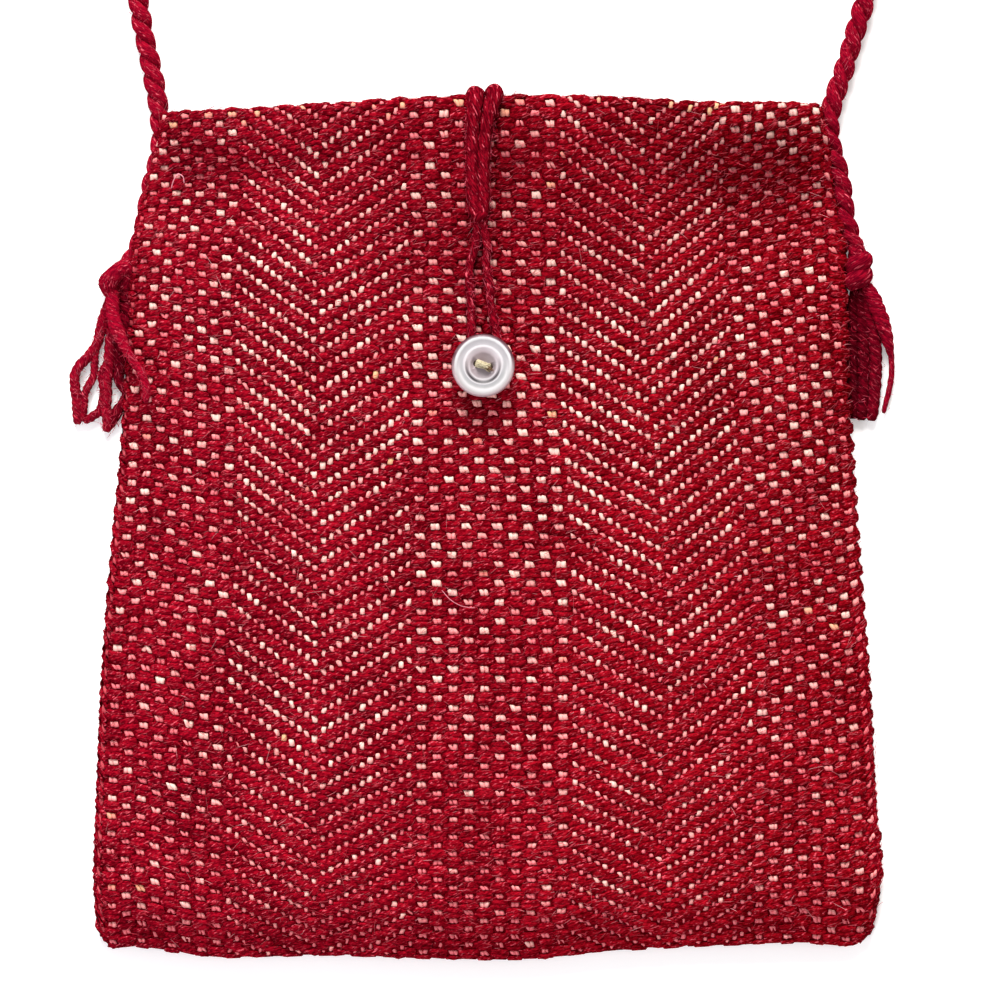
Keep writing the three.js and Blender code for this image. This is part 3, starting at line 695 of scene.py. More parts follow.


# Weave: every float of weft and warp is a bead of yarn, its dye uneven and dimmed in places by painted
# shade
weave = {
    "basketPairs": (9, 10, 9),
    "herringEnds": 12,
    "pairGap": 0.5,  # how close the two ends of a basket pair lie
    "pairLean": 0.1,
    "ribLean": (0.05, 0.04),  # how the warp dots lean in the falling and rising halves of the herringbone
    "beadSides": 6,
    "beadBlunt": (3.2, 0.4),
    "beadSpacing": 0.55,
    "varied": {"length": 0.07, "width": 0.08, "height": 0.1, "rise": 0.05},
    "floor": 0.03,
    "seamWrap": 1.6,  # floats that turn farther round a side are in the seam
    "weft": {
        "rings": 4, "backRings": 3, "overlap": 0.32, "halfWidth": 1.08, "halfHeight": 0.7, "lift": 0.1,
        "sink": 0.45, "rough": 0.09,
        "dye": (0.21, 0.0005, 0.008), "otherDye": (0.21, 0.0005, 0.003), "dyeAcross": (-90, 90),
        "patch": 0.15, "patchSize": 30, "patchSeed": 3, "spread": 0.12,
    },
    "warp": {
        "rings": 3, "backRings": 3, "overlap": -0.1, "halfWidth": 0.88, "halfHeight": 0.6, "lift": -0.2,
        "sink": 0.3, "rough": 0.1,
        "dye": (0.97, 0.62, 0.53), "blush": (0.86, 0.17, 0.2), "straw": (0.88, 0.52, 0.28),
        "edgeEnds": 2.5,  # the outermost ends lie deep in the wool, more so at the left
        "edgeDyes": ((0.62, 0.35, 0.4), (0.92, 0.75, 0.78)), "edgeSinks": (0.3, 0.08),
        "foldReach": (14, 6), "foldSink": 0.12,
        "pinkShort": 0.28, "pinkThin": 0.22, "pinkSink": 0.25,  # how a pinker dot is smaller and deeper
        "pinkAlong": (0.42, 0.22, -0.12),  # more at a dot's ends, and at its lower one
    },
    "strawShare": (0.45, 0.015),  # of the dots along the hem, and elsewhere
    "strawPicks": (1, 2),
    # fold: how much pinker the dots get near the fold, partly painted shade
    "blush": {"mean": 0.48, "patch": 0.2, "size": 22, "seed": 8, "spread": 0.27, "endSpread": 0.06,
              "edges": (0.7, 0.25), "fold": 0.45},
    "pinker": [  # x, y, reach and strength of the places where the wool hides the warp
        (-78, 104, 26, 0.25), (-97, 62, 16, 0.2), (2, 94, 34, 0.35), (48, 104, 26, 0.25),
        (90, 92, 22, 0.3), (-48, 56, 32, -0.25), (28, 42, 40, -0.3), (10, 10, 20, -0.15),
        (-76, -11, 16, 0.2), (0, -16, 16, 0.15), (77, -11, 18, 0.35), (-95, -40, 20, 0.3),
        (-44, -55, 24, -0.1), (33, -42, 22, 0.2), (88, -72, 32, 0.5), (90, 121, 6, -0.9),
        (79, 121, 6, -0.9), (68, 121, 6, -0.9), (57, 121, 6, -0.7), (-85, -95, 36, 0.35),
        (-5, -88, 30, 0.45), (-40, -108, 26, 0.25), (40, -112, 40, 0.3), (92, -112, 20, 0.1)],
    "paintedShadeSpots": [  # x, y, reach and strength of the painted shade: places dimmed to stand in for shadow and uneven light, the negative ones lightened as painted light
        (55, 108, 28, 0.26), (-20, 86, 22, 0.2), (4, 88, 22, 0.22), (25, 100, 22, 0.1), (84, 107, 20, 0.44),
        (98, 92, 20, 0.1), (4.5, 104, 8, 0.3), (44, 72, 24, 0.12), (90, 121, 5, -0.3), (79, 121, 5, -0.3),
        (68, 121, 5, -0.3), (-86, 107, 15, 0.25), (80, 25, 28, 0.1), (77, -11, 18, 0.12), (2, -12, 20, 0.1),
        (-5, -82, 20, 0.14), (0, -85, 90, -0.05)],
}


def warpPhases():
    # which pick each end first comes up at: pairs in the basket stripes, steps of one in the herringbone
    phases, shifts, leans, dots, at = [], [], [], [], 0
    for stripe, pairs in enumerate(weave["basketPairs"]):
        for pair in range(pairs):
            phases += [at, at]
            shifts += [(1 - weave["pairGap"]) / 2, (weave["pairGap"] - 1) / 2]
            leans += [weave["pairLean"], weave["pairLean"]]
            dots += [len(dots), len(dots)]
            at += 2
        if stripe < len(weave["basketPairs"]) - 1:
            for step, lean in zip((1, -1), weave["ribLean"]):
                for end in range(weave["herringEnds"]):
                    phases.append(at)
                    shifts.append(0)
                    leans.append(lean)
                    dots.append(len(dots))
                    at += step
                at += 2 - step
    return np.array(phases), np.array(shifts), np.array(leans), np.array(dots)


def runs(mask):
    # first and last column of each run along the rows
    padded = np.pad(mask, ((0, 0), (1, 1)))
    row, start = np.nonzero(padded[:, 1:-1] & ~padded[:, :-2])
    _, finish = np.nonzero(padded[:, 1:-1] & ~padded[:, 2:])
    return row, start, finish


def unitSphere(around, rings):
    shape = bmesh.new()
    bmesh.ops.create_uvsphere(shape, u_segments=around, v_segments=rings, radius=1)
    bmesh.ops.triangulate(shape, faces=shape.faces)
    spots = np.array([vertex.co for vertex in shape.verts])
    faces = np.array([[vertex.index for vertex in face.verts] for face in shape.faces])
    shape.free()
    return spots, faces


def unitBead(rings):
    # a blunt bead that lies along x
    spots, faces = unitSphere(weave["beadSides"], rings)
    girth = np.linalg.norm(spots[:, :2], axis=1)
    power, root = weave["beadBlunt"]
    full = (1 - np.abs(spots[:, 2]) ** power) ** root
    blunt = np.where(girth > 1e-6, full / np.maximum(girth, 1e-6), 0)
    length = np.sign(spots[:, 2]) * np.abs(spots[:, 2]) ** weave["beadSpacing"]
    return np.stack([length, spots[:, 0] * blunt, spots[:, 1] * blunt], 1), faces


def joinCopies(name, faces, places, dyes):
    # one mesh of all the copies, each with its dye, painted shade included
    count, points = places.shape[:2]
    mesh = bpy.data.meshes.new(name)
    joined = faces[None] + points * np.arange(count)[:, None, None]
    mesh.from_pydata(places.reshape(-1, 3) * mm, [], joined.reshape(-1, faces.shape[1]))
    colours = mesh.attributes.new("dye", "FLOAT_COLOR", "POINT")
    full = np.ones((count, points, 4))
    full[..., :3] = dyes if dyes.ndim == 3 else dyes[:, None]
    colours.data.foreach_set("color", full.ravel())
    return mesh


def patches(place, size, seed):
    # a slow unevenness over the cloth, from -1 to 1
    draw = np.random.default_rng(seed)
    total = 0
    for _ in range(6):
        heading, phase = draw.uniform(0, 2 * math.pi, 2)
        turn = 2 * math.pi / (size * draw.uniform(0.6, 1.6))
        far = place[:, 0] * math.cos(heading) + place[:, 1] * math.sin(heading)
        total = total + np.sin(turn * far + phase)
    return np.clip(total / 3, -1, 1)


def softSpots(place, rows):
    # the rows' strengths, each round its own place
    total = 0
    for x, y, reach, strength in rows:
        total = total + strength * np.exp(-((place[:, 0] - x) ** 2 + (place[:, 1] - y) ** 2) / reach ** 2)
    return total


def blushAt(place, nearFold, outer, dot):
    # how pink each warp float looks, by slow patches and by chance, alike in both ends of a dot; pinker
    # near the fold, partly as painted shade
    form = weave["blush"]
    mean = form["mean"] + form["patch"] * patches(place, form["size"], form["seed"])
    mean = mean + softSpots(place, weave["pinker"])
    # near the fold the dots get pinker: partly hidden in the wool, partly painted shade
    mean = mean + outer * np.where(place[:, 0] < 0, *form["edges"]) + form["fold"] * nearFold
    ofDot = chance.normal(0, form["spread"], dot.max() + 1)[dot]
    return np.clip(mean + ofDot + chance.normal(0, form["endSpread"], len(place)), 0, 1)


# painted shade: the dye darkened round the listed places
def paintedShadeAt(place):
    return (1 - softSpots(place, weave["paintedShadeSpots"]))[:, None]


def layFloats(end, pick, reach, slant, form, rings, size, sunk):
    # a bead for each float, bent along the cloth; reach is how far it runs along the weft or along the warp
    count, spread = len(end), weave["varied"]
    spots, faces = unitBead(rings)
    stations, which = np.unique(spots[:, 0].round(4), return_inverse=True)

    def varied(part):
        return 1 + chance.normal(0, spread[part], count)[:, None]
    run = stations * varied("length")
    lean = (slant + chance.normal(0, form["rough"], count))[:, None] * run
    far = reach[:, None] * run
    if form is weave["weft"]:
        place, _, across, out, wrap = clothFrame(end[:, None] + far, pick[:, None] + lean)
    else:
        place, across, _, out, wrap = clothFrame(end[:, None] + lean, pick[:, None] + far)
    width = form["halfWidth"] * size[:, None] * varied("width")
    height = form["halfHeight"] * varied("height")
    rise = form["lift"] - sunk + chance.normal(0, spread["rise"], count)
    lifted = spots[:, 2] * height + rise[:, None] - form["sink"] * np.abs(spots[:, 0]) ** 3
    copies = place[:, which] + across[:, which] * (spots[:, 1] * width)[..., None]
    copies = copies + out[:, which] * lifted[..., None]
    copies = copies + chance.normal(0, form["rough"], copies.shape)
    copies[..., 2] = np.maximum(copies[..., 2], weave["floor"])
    return copies, faces, wrap.min(1)


def makeWeave(weftMaterial, warpMaterial):
    c = cloth
    phases, shifts, leans, dots = warpPhases()
    picks = np.arange(-c["hemPicks"], 2 * c["frontPicks"] + c["nosePicks"] + c["hemPicks"] + 1)
    up = np.pad((picks[:, None] - phases[None]) % 4 < 2, ((0, 0), (c["selvedge"], c["selvedge"])))
    shifts, leans = np.pad(shifts, c["selvedge"]), np.pad(leans, c["selvedge"])
    fold = c["frontPicks"] + c["nosePicks"] / 2
    pieces = []

    def frontAndBack(kind):
        yield "front" + kind, pick < fold, form["rings"]
        yield "back" + kind, pick >= fold, form["backRings"]

    def joinFloats(name, floats, dyes, material):
        copies, faces, wrap = floats
        seen = wrap < weave["seamWrap"]
        pieces.append(newPiece(name, joinCopies(name, faces, copies[seen], dyes[seen]), material))

    # weft floats
    form = weave["weft"]
    row, first, last = runs(~up)
    pick, end = picks[row].astype(float), (first + last) / 2 - c["selvedge"]
    reach = (last - first + 1) / 2 + form["overlap"]
    place = clothPoint(end, pick)[0]
    side = smoothStep(place[:, 0], *form["dyeAcross"])[:, None]
    dyes = np.array(form["dye"]) * (1 - side) + np.array(form["otherDye"]) * side
    uneven = 1 + form["patch"] * patches(place, form["patchSize"], form["patchSeed"])
    uneven = uneven + chance.normal(0, form["spread"], len(end))
    # painted shade dims the weft's dye at the listed places
    dyes = np.clip(dyes * uneven[:, None] * paintedShadeAt(place), 0, 1)
    for name, mine, rings in frontAndBack("Weft"):
        floats = layFloats(end[mine], pick[mine], reach[mine], 0, form, rings, np.ones(mine.sum()), 0)
        joinFloats(name, floats, dyes[mine], weftMaterial)

    # warp floats
    form = weave["warp"]
    column, first, last = runs(up.T)
    end, pick = column + shifts[column] - c["selvedge"], picks[0] + (first + last) / 2
    place = clothPoint(end, pick)[0]
    dot = dots[column - c["selvedge"]] * len(picks) + first
    outer = np.abs(end - (c["ends"] - 1) / 2) > c["ends"] / 2 - form["edgeEnds"]  # at the sides
    nearFold = smoothStep(np.abs(pick - fold), *form["foldReach"])
    blush = blushAt(place, nearFold, outer, dot)
    hemPick, hemReach = weave["strawPicks"]
    strawShare = np.where(np.abs(pick - hemPick) < hemReach, *weave["strawShare"])
    straw = chance.random(dot.max() + 1)[dot] < strawShare
    own = np.where(straw[:, None], form["straw"], form["dye"])
    reach = ((last - first + 1) / 2 + form["overlap"]) * (1 - form["pinkShort"] * blush)
    square, straight, start = form["pinkAlong"]
    for name, mine, rings in frontAndBack("Warp"):
        pink, edge, lean = blush[mine], outer[mine], leans[column[mine]]
        atLeft = place[mine, 0] < 0
        sunk = form["pinkSink"] * pink + np.where(edge, np.where(atLeft, *form["edgeSinks"]), 0)
        sunk = sunk + form["foldSink"] * nearFold[mine]
        size = 1 - form["pinkThin"] * pink
        floats = layFloats(end[mine], pick[mine], reach[mine], lean, form, rings, size, sunk)
        along = unitBead(rings)[0][None, :, 0]
        redden = np.clip(pink[:, None] + square * along ** 2 + straight * along + start, 0, 1)[..., None]
        dyes = own[mine][:, None] * (1 - redden) + np.array(form["blush"]) * redden
        tint = np.where(atLeft[:, None], *np.array(form["edgeDyes"]))
        # painted shade dims the dots at the listed places too
        dyes = dyes * paintedShadeAt(place[mine])[:, None] * np.where(edge[:, None], tint, 1)[:, None]
        joinFloats(name, floats, dyes, warpMaterial)
    return pieces


# Closing loop: a doubled cord from inside the back, over the mouth, knotted, and thinner round the button
loop = {
    "width": 5.6,
    "thin": 0.68,
    "leftDrop": 0.5,
    "lay": 14,
    "thinWidth": 2.7,
    "thinLay": 9,
    "step": 0.6,
    "rows": [  # y, left strand, right strand, height
        (106, -4.2, 0, 4.8), (115, -4.1, 0.8, 4.8), (120.5, -3.7, 1.6, 6.6), (123.8, -3.3, 2, 10.4),
        (123.2, -3.3, 2, 13.6), (118.5, -3.7, 0.8, 15.2), (112, -4.1, -0.6, 15), (104, -4.1, -1, 15),
        (96, -3.9, -1.1, 15.1), (90.5, -3.2, -1.2, 15.3), (87.5, -2.5, -1.7, 15.2)],
    "thinRoute": [
        (-2.5, 88, 15), (-2.9, 83.5, 14.5), (-3.3, 80.1, 14.2), (-4.4, 76.9, 14.1), (-5.1, 73.7, 14.1),
        (-4.7, 67.8, 14.1), (-4.4, 58.3, 14.3), (-4.4, 52, 14.8), (-3.6, 45, 15), (-1.1, 41.8, 15),
        (1.6, 45, 15), (3, 52, 14.8), (2, 58.3, 14.3), (1, 63.4, 14.1), (0.8, 69, 14.1), (0, 73.1, 14.1),
        (-0.3, 76, 14.1), (0.2, 79, 14.2), (-0.6, 83.5, 14.5), (-1.6, 88, 15)],
    "knot": {"middle": (-2, 88.6, 15.2), "turns": 1.6, "radius": 0.9, "pitch": 2.6, "lean": 0.2},
    "knotWidth": 3.2,
    "streak": (1.7, 0.42, 1),
    "dye": (0.155, 0.001, 0.008),
}


def makeLoop(material):
    shape = bmesh.new()
    routes = []
    for side, drop in ((1, loop["leftDrop"]), (2, 0)):
        points = [(row[side], row[0] - drop, row[3]) for row in loop["rows"]]
        routes.append((points, loop["width"], loop["lay"], loop["thin"]))
    routes.append((loop["thinRoute"], loop["thinWidth"], loop["thinLay"], 1))
    routes.append((knotPath(**loop["knot"]), loop["knotWidth"], loop["thinLay"], 1))
    paths = []
    for points, width, lay, thin in routes:
        path = smoothPath(points, loop["step"])
        layYarn(shape, path, width, lay, loop["dye"], plies=3, sides=8, turn=anyTurn(), ends=0.6, thin=thin)
        paths.append((path, width * (1 + thin) / 2))
    piece = newPiece("loopCord", finishMesh(shape, "loopCord"), material)
    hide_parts("closing_loop")
    return paths


# Button: clear, with a rim, a ridge round the well and two holes, sewn on with a frayed thread
button = {
    "middle": (-1.1, 46),
    "bottom": 17.3,
    "radius": 9,
    "steps": 72,
    "profile": [(0, 0), (6, 0), (8.4, 0.7), (9, 1.6), (8.8, 2.5), (8.3, 2.8), (7.7, 2.7), (6, 2.1),
                (5.5, 2.3), (5, 2.2), (4.2, 1.5), (0, 1.5)],
    "holeRadius": 0.95,
    "holeSides": 20,
    "holeSpacing": 3.8,
    "drillLength": 6,
    "stitchTurn": -0.26,
    "resin": {"Roughness": 0.4, "Specular IOR Level": 0.25, "Transmission Weight": 0.3, "IOR": 1.5},
    "upperPaintedRings": [  # share of the radius, and colour: the resin's own tones, with painted highlights and painted shade where light falls on the upper half
        (0, (0.38, 0.29, 0.3)), (0.38, (0.32, 0.25, 0.26)),  # well
        (0.44, (0.6, 0.5, 0.53)), (0.56, (0.7, 0.64, 0.66)), (0.62, (0.8, 0.76, 0.78)),  # wall and ridge, with painted highlights
        (0.67, (0.5, 0.48, 0.5)), (0.8, (0.45, 0.43, 0.45)),  # lilac ring
        (0.85, (0.82, 0.82, 0.82)), (0.89, (0.84, 0.84, 0.85)),  # painted highlight on the rim
        (0.93, (0.14, 0.05, 0.07)), (1, (0.06, 0.012, 0.02))],  # clear edge, darkened by painted shade
    # the same for the lower half: own tones with painted highlights and painted shade
    "lowerPaintedRings": [
        (0, (0.32, 0.25, 0.27)), (0.4, (0.36, 0.29, 0.31)), (0.45, (0.64, 0.6, 0.62)),
        (0.48, (0.34, 0.29, 0.31)), (0.56, (0.34, 0.3, 0.32)), (0.59, (0.75, 0.73, 0.74)),
        (0.63, (0.43, 0.42, 0.44)), (0.7, (0.45, 0.45, 0.45)), (0.77, (0.72, 0.7, 0.71)),
        (0.87, (0.46, 0.44, 0.44)), (0.95, (0.58, 0.43, 0.45)), (1, (0.62, 0.4, 0.44))],
    "lowerBlend": 1.6,  # how fast the upper rings give way to the lower ones down the button, so the painted highlights and shade differ between top and bottom
    "cloudScale": (300, 300, 300),
    "cloudShift": 0.05,  # of the rings
    "milk": (0.86, 0.82, 0.86),
    "milkShare": 0.5,
    "paintedShadow": (0.03, 0.025, 0.03),  # painted shadow on the lower wall of the well
    "crescentPlace": (0.53, 16),  # share of the radius, and how narrow it is
    "crescentStart": 0.25,
    "crescentStrength": 1.8,
    "threadDye": (0.8, 0.69, 0.46),
    "stitches": [  # how far aside at the first and second hole, height of the arch, width, share at its end
        (0.9, 0.7, 2.5, 0.8, 0.8), (0.5, 0.25, 3, 0.9, 0.75), (0.1, -0.35, 3.2, 0.85, 0.8),
        (-0.35, -0.1, 2.9, 0.8, 0.8), (-0.7, -0.7, 2.4, 0.75, 0.7), (0.75, -0.5, 3.4, 0.65, 0.8)],
    "stitchRim": 1.4,  # heights over the button's underside
    "stitchFoot": (0.3, -0.3),  # share of the way aside, and height
    "stitchArch": ((0.2, 0), (0.75, -0.15)),  # share of the way across, and height against the arch
    "stitchLay": 2.2,
    "threadStep": 0.2,
    "fray": {"count": 9, "root": 0.55, "rootAside": (-0.2, 0.35), "tipBeyond": (0.14, 0.12),
             "tipAside": (-0.55, 0.45), "bend": (0, 0.3), "heights": (2.9, 2.8, 1.75), "width": 0.26,
             "lay": 1.2, "dyes": ((0.28, 0.16, 0.09), (0.6, 0.48, 0.3))},
    "shank": {"heights": (-4.6, -2, 0.2), "width": 1.7, "lay": 3, "step": 0.3},
}


def buttonMaterial():
    b = button
    material, shader, place = newMaterial("clearResin", b["resin"])
    x, y = b["middle"]
    inputs = {"Vector": place, "Location": (-x * mm, -y * mm, 0), "Scale": (1, 1, 0)}
    centred = place.node("ShaderNodeMapping", None, inputs)
    toShare = 1 / (b["radius"] * mm)
    radius = centred.node("ShaderNodeVectorMath", {"operation": "LENGTH"}, {0: centred}, 1) * toShare
    low = centred.node("ShaderNodeSeparateXYZ", None, {0: centred}, 1) * -toShare
    cloudy = place.noise(b["cloudScale"]) - 0.5
    ringAt = {"Fac": radius + cloudy * b["cloudShift"]}
    upper = place.node("ShaderNodeValToRGB", {"stops": b["upperPaintedRings"]}, ringAt)
    lower = place.node("ShaderNodeValToRGB", {"stops": b["lowerPaintedRings"]}, ringAt)
    # painted shadow: a dark ring on the well's wall, stronger towards the bottom
    middle, narrow = b["crescentPlace"]
    wall = 1 - ((radius - middle) * narrow).maths("ABSOLUTE", 0)
    paintedShadow = wall.maths("MAXIMUM", 0) * (low + b["crescentStart"]) * b["crescentStrength"]
    # the base colour paints highlights and shade: upper and lower rings blended by height on the button,
    # then the painted shadow on the well's lower wall
    milkAndPaintedLight = upper.mixed(lower, low * b["lowerBlend"] + 0.5).mixed((*b["milk"], 1), cloudy * b["milkShare"])
    feed(shader, Base_Color=milkAndPaintedLight.mixed((*b["paintedShadow"], 1), paintedShadow))
    return material


def spunButton():
    shape = bmesh.new()
    ring = [shape.verts.new((radius, 0, height)) for radius, height in button["profile"]]
    edges = [shape.edges.new(pair) for pair in zip(ring, ring[1:])]
    bmesh.ops.spin(shape, geom=ring + edges, cent=(0, 0, 0), axis=(0, 0, 1), angle=2 * math.pi,
                   steps=button["steps"], use_merge=True)
    bmesh.ops.remove_doubles(shape, verts=shape.verts, dist=1e-4)
    bmesh.ops.recalc_face_normals(shape, faces=shape.faces)
    bmesh.ops.scale(shape, vec=(mm, mm, mm), verts=shape.verts)
    bmesh.ops.translate(shape, vec=Vector((*button["middle"], button["bottom"])) * mm, verts=shape.verts)
    return finishMesh(shape, "clearButton")


def holeEnds():
    turn = button["stitchTurn"]
    reach = np.array((math.cos(turn), math.sin(turn))) * button["holeSpacing"] / 2
    return np.array(button["middle"]) - reach, np.array(button["middle"]) + reach


def makeButton(material):
    piece = newPiece("clearButton", spunButton(), material)
    radius = button["holeRadius"] * mm
    shape = bmesh.new()
    for end in holeEnds():
        made = bmesh.ops.create_cone(shape, segments=button["holeSides"], radius1=radius, radius2=radius,
                                     depth=button["drillLength"] * mm, cap_ends=True)
        bmesh.ops.translate(shape, vec=Vector((*end, button["bottom"])) * mm, verts=made["verts"])
    drill = bpy.data.objects.new("drill", finishMesh(shape, "drill"))
    bpy.context.scene.collection.objects.link(drill)
    cut = piece.modifiers.new("holes", "BOOLEAN")
    cut.object, cut.solver = drill, "EXACT"
    whole = piece.data
    bpy.context.view_layer.update()
    piece.data = bpy.data.meshes.new_from_object(piece.evaluated_get(bpy.context.evaluated_depsgraph_get()))
    piece.modifiers.remove(cut)
    bpy.data.meshes.remove(whole)
    bpy.data.meshes.remove(drill.data)
    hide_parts("button")


def makeStitch(material):
    b, dye = button, button["threadDye"]
    shape = bmesh.new()
    low, high = holeEnds()
    across = np.array((-(high - low)[1], (high - low)[0])) / b["holeSpacing"]

    def spot(start, finish, share, height):
        return (*(start * (1 - share) + finish * share), b["bottom"] + height)
    foot, footHeight = b["stitchFoot"]
    for start, finish, rise, width, thin in b["stitches"]:
        near, far = low + across * start, high + across * finish
        spots = [spot(low, near, foot, footHeight), spot(near, far, 0, b["stitchRim"])]
        spots += [spot(near, far, share, rise + drop) for share, drop in b["stitchArch"]]
        spots += [spot(near, far, 1, b["stitchRim"]), spot(high, far, foot, footHeight)]
        layYarn(shape, smoothPath(spots, b["threadStep"]), width, b["stitchLay"], dye, sides=8, thin=thin)
    form = b["fray"]
    for fray in range(form["count"]):
        root = low * (1 - form["root"]) + high * form["root"] + across * chance.normal(*form["rootAside"])
        tip = high + (high - low) * chance.normal(*form["tipBeyond"])
        tip = tip + across * chance.normal(*form["tipAside"])
        bent = (root + tip) / 2 + across * chance.normal(*form["bend"])
        spots = [spot(place, place, 0, height) for place, height in zip((root, bent, tip), form["heights"])]
        path = smoothPath(spots, b["threadStep"])
        layYarn(shape, path, form["width"], form["lay"], form["dyes"][fray % 2], plies=1, sides=6, ends=0.4)
    form = b["shank"]
    for end in (low, high):
        path = smoothPath([spot(end, end, 0, height) for height in form["heights"]], form["step"])
        layYarn(shape, path, form["width"], form["lay"], dye, sides=8)
    piece = newPiece("buttonStitch", finishMesh(shape, "buttonStitch"), material)
    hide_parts("button_thread")


# Loose hairs of wool: short tufts along the weft, and stray ones over the cloth and round the cords
hairs = {
    "tufts": {"count": 9000, "length": (1.4, 3.6), "thickness": 0.075, "rise": (-0.05, 0.14),
              "spread": 0.36, "pale": 0.22},
    "strays": {"count": 700, "length": (2, 6), "thickness": 0.05, "rise": (0, 0.35),
               "spread": 0.9, "pale": 0.6},
    "heading": -0.3,  # the tufts climb to the right
    "firstPick": -3,
    "rootDepth": 0.15,
    "bend": (0.05, 0.4),  # shares of the length
    "floor": 0.05,
    "dye": (0.42, 0.006, 0.025),
    "paleDye": (0.85, 0.4, 0.42),
    "cord": {"length": (0.8, 3), "lowest": 0.3, "root": 0.46, "rise": (-0.2, 0.22), "spread": 0.8,
             "pale": 0.8, "paleDye": (0.62, 0.1, 0.15)},
    "onStrap": (1800, 0.6, 0.07),  # count, how far they lie round the cord, and thickness
    "onLoop": ((800, 0.5, 0.11), (800, 0.5, 0.11), (330, 0.5, 0.08), (40, 0.5, 0.08)),  # by its routes
    "onLeftTassel": (150, 0.6, 0.08),
    "onRightTassel": (40, 0.6, 0.07),
    "curls": [  # width, dye and route
        (0.3, (0.8, 0.3, 0.36), [
            (-90.1, 96.6, 12.2), (-89.4, 98.9, 12.9), (-88, 100.7, 13.4), (-86.8, 100, 13.4),
            (-86.4, 98, 13)]),
        (0.22, (0.75, 0.25, 0.3), [
            (-12.9, -18, 13.9), (-10.6, -20.6, 14.3), (-7, -22.6, 14.5), (-3.4, -23.1, 14)])],
    "curlLay": 9,
    "curlStep": 0.4,
}


def makeHairs(name, root, way, length, thickness, pale, paleDye, material):
    count = len(root)
    way = unit(way)
    aside = unit(np.cross(way, chance.normal(0, 1, (count, 3))))
    bend = aside * (length * chance.uniform(*hairs["bend"], count))[:, None]
    spots, faces = unitSphere(3, 3)
    t = (spots[:, 2] + 1) / 2
    one = unit(np.cross(way, (0.3, 0.2, 0.9)))  # any way across
    other = np.cross(way, one)
    copies = root[:, None] + (way * length[:, None])[:, None] * t[None, :, None]
    copies = copies + bend[:, None] * (t ** 2)[None, :, None]
    girth = one[:, None] * spots[None, :, :1] + other[:, None] * spots[None, :, 1:2]
    copies = copies + np.reshape(thickness, (-1, 1, 1)) * girth
    copies[..., 2] = np.maximum(copies[..., 2], hairs["floor"])
    share = np.clip(chance.exponential(pale / 2, (count, 1)), 0, 1)
    dyes = np.array(hairs["dye"]) * (1 - share) + np.array(paleDye) * share
    newPiece(name, joinCopies(name, faces, copies, dyes), material)


def clothHairs(name, material):
    form = hairs[name]
    n = form["count"]
    end = chance.uniform(0, cloth["ends"], n)
    pick = chance.uniform(hairs["firstPick"], cloth["frontPicks"], n)
    place, along, down, out, _ = clothFrame(end, pick)
    heading = chance.normal(hairs["heading"], form["spread"], n)[:, None]
    way = along * np.cos(heading) + down * np.sin(heading) + out * chance.uniform(*form["rise"], n)[:, None]
    root = place + out * (cloth["skin"] - hairs["rootDepth"])
    length = chance.uniform(*form["length"], n)
    makeHairs(name, root, way, length, form["thickness"], form["pale"], hairs["paleDye"], material)


def cordHairs(cords, material):
    form = hairs["cord"]
    roots, ways, girths = [], [], []
    for path, width, count, aside, thickness in cords:
        k = chance.integers(1, len(path) - 1, count)
        tangent, side, up = framesAlong(path)
        angle = chance.uniform(form["lowest"], math.pi - form["lowest"], count)[:, None]
        outward = side[k] * np.cos(angle) + up[k] * np.sin(angle)
        way = outward * chance.uniform(*form["rise"], count)[:, None]
        way = way + tangent[k] * chance.normal(0, form["spread"], count)[:, None]
        way = way + np.cross(tangent[k], outward) * chance.normal(0, aside, count)[:, None]
        roots.append(path[k] + outward * width * form["root"])
        ways.append(way)
        girths.append(np.full(count, thickness))
    root, way, girth = [np.concatenate(part) for part in (roots, ways, girths)]
    length = chance.uniform(*form["length"], len(root))
    makeHairs("cordHairs", root, way, length, girth, form["pale"], form["paleDye"], material)


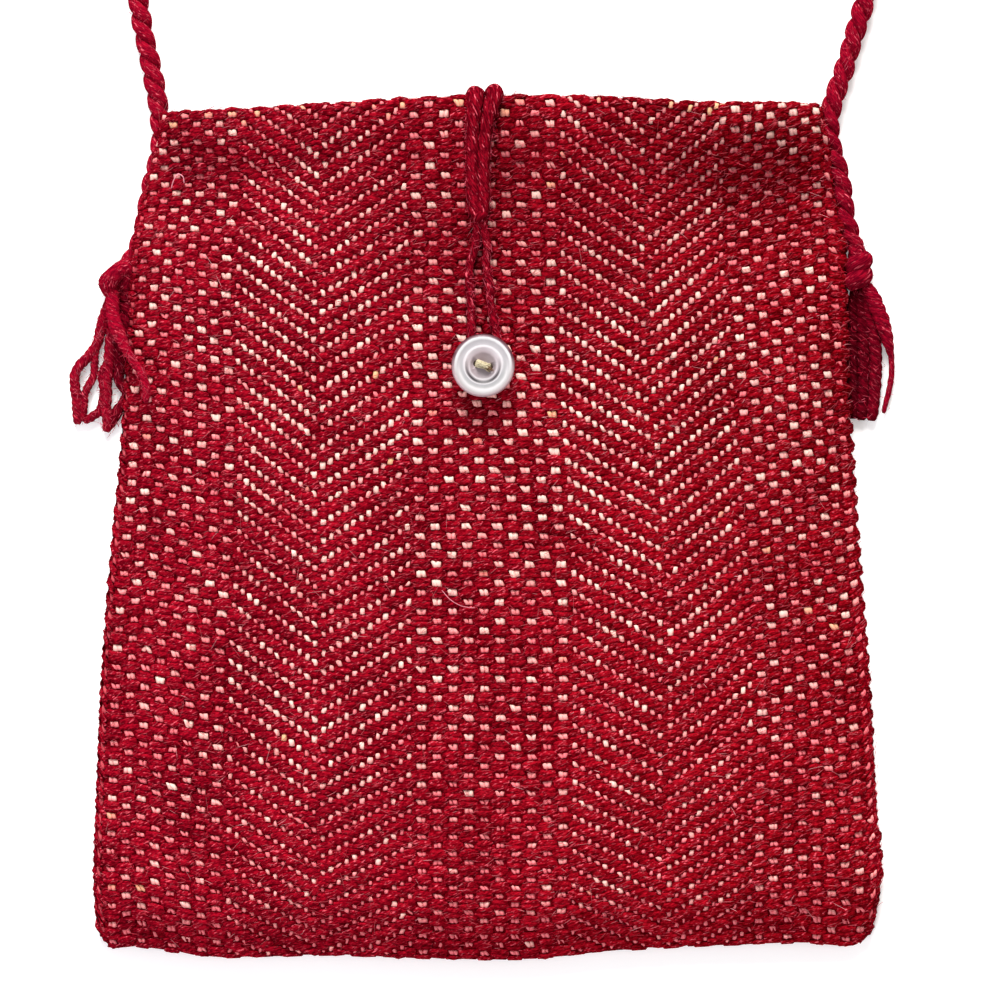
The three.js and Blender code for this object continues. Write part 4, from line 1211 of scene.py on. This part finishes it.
def makeCurls(material):
    # the few long hairs that stand out on the cloth
    shape = bmesh.new()
    for width, dye, points in hairs["curls"]:
        path = smoothPath(points, hairs["curlStep"])
        layYarn(shape, path, width, hairs["curlLay"], dye, plies=1, sides=5, ends=0.3)
    newPiece("curls", finishMesh(shape, "curls"), material)


setStage()
makeFloor()
print("stage set")

# deep and pale are how far the streaks go to the dark and to the bright side
weftLook = (wool["weftStreak"], wool["weftTurn"], "Object")
warpLook = (wool["warpStreak"], wool["warpTurn"], "Object")
cordLook = (wool["cordStreak"], wool["cordTurn"], "UV")
threadLook = (wool["threadStreak"], wool["cordTurn"], "UV")
loopLook = (loop["streak"], wool["cordTurn"], "UV")
cordWool = yarnMaterial("cordWool", *cordLook, deep=0.45, pale=0.4, fleckGlints=1.5)
groundWool = yarnMaterial("groundWool", *weftLook, deep=0.5, pale=0.2, fleckGlints=0.2, dye=cloth["dye"])
weftWool = yarnMaterial("weftWool", *weftLook, deep=0.42, pale=0.56, fleckGlints=1.4)
warpCotton = yarnMaterial("warpCotton", *warpLook, deep=0.8, pale=0, fleckGlints=0.5)
threadCotton = yarnMaterial("threadCotton", *threadLook, deep=0.45, pale=0, fleckGlints=0)
hairWool = yarnMaterial("hairWool", wool["hairStreak"], 0, "Object", deep=0.7, pale=0, fleckGlints=0)
loopWool = yarnMaterial("loopWool", *loopLook, deep=0.4, pale=0.5, fleckGlints=2.4)

strapCord, strapRoute = makeStrap(cordWool)
leftTassel, leftRoutes = makeTassel("leftTassel", cordWool)
rightTassel, rightRoutes = makeTassel("rightTassel", cordWool)

bagCloth = makeCloth(groundWool)
floats = makeWeave(weftWool, warpCotton)
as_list(floats)
print("cloth folded and woven")

loopRoutes = makeLoop(loopWool)
makeButton(buttonMaterial())
makeStitch(threadCotton)
print("loop and button sewn on")

clothHairs("tufts", hairWool)
clothHairs("strays", hairWool)
makeCurls(hairWool)
cords = [(strapRoute, strap["width"], *hairs["onStrap"])]
cords += [(*route, *form) for route, form in zip(loopRoutes, hairs["onLoop"])]
cords += [(*route, *hairs["onLeftTassel"]) for route in leftRoutes]
cords += [(*route, *hairs["onRightTassel"]) for route in rightRoutes]
cordHairs(cords, hairWool)
print("hairs laid")

bpy.context.view_layer.update()
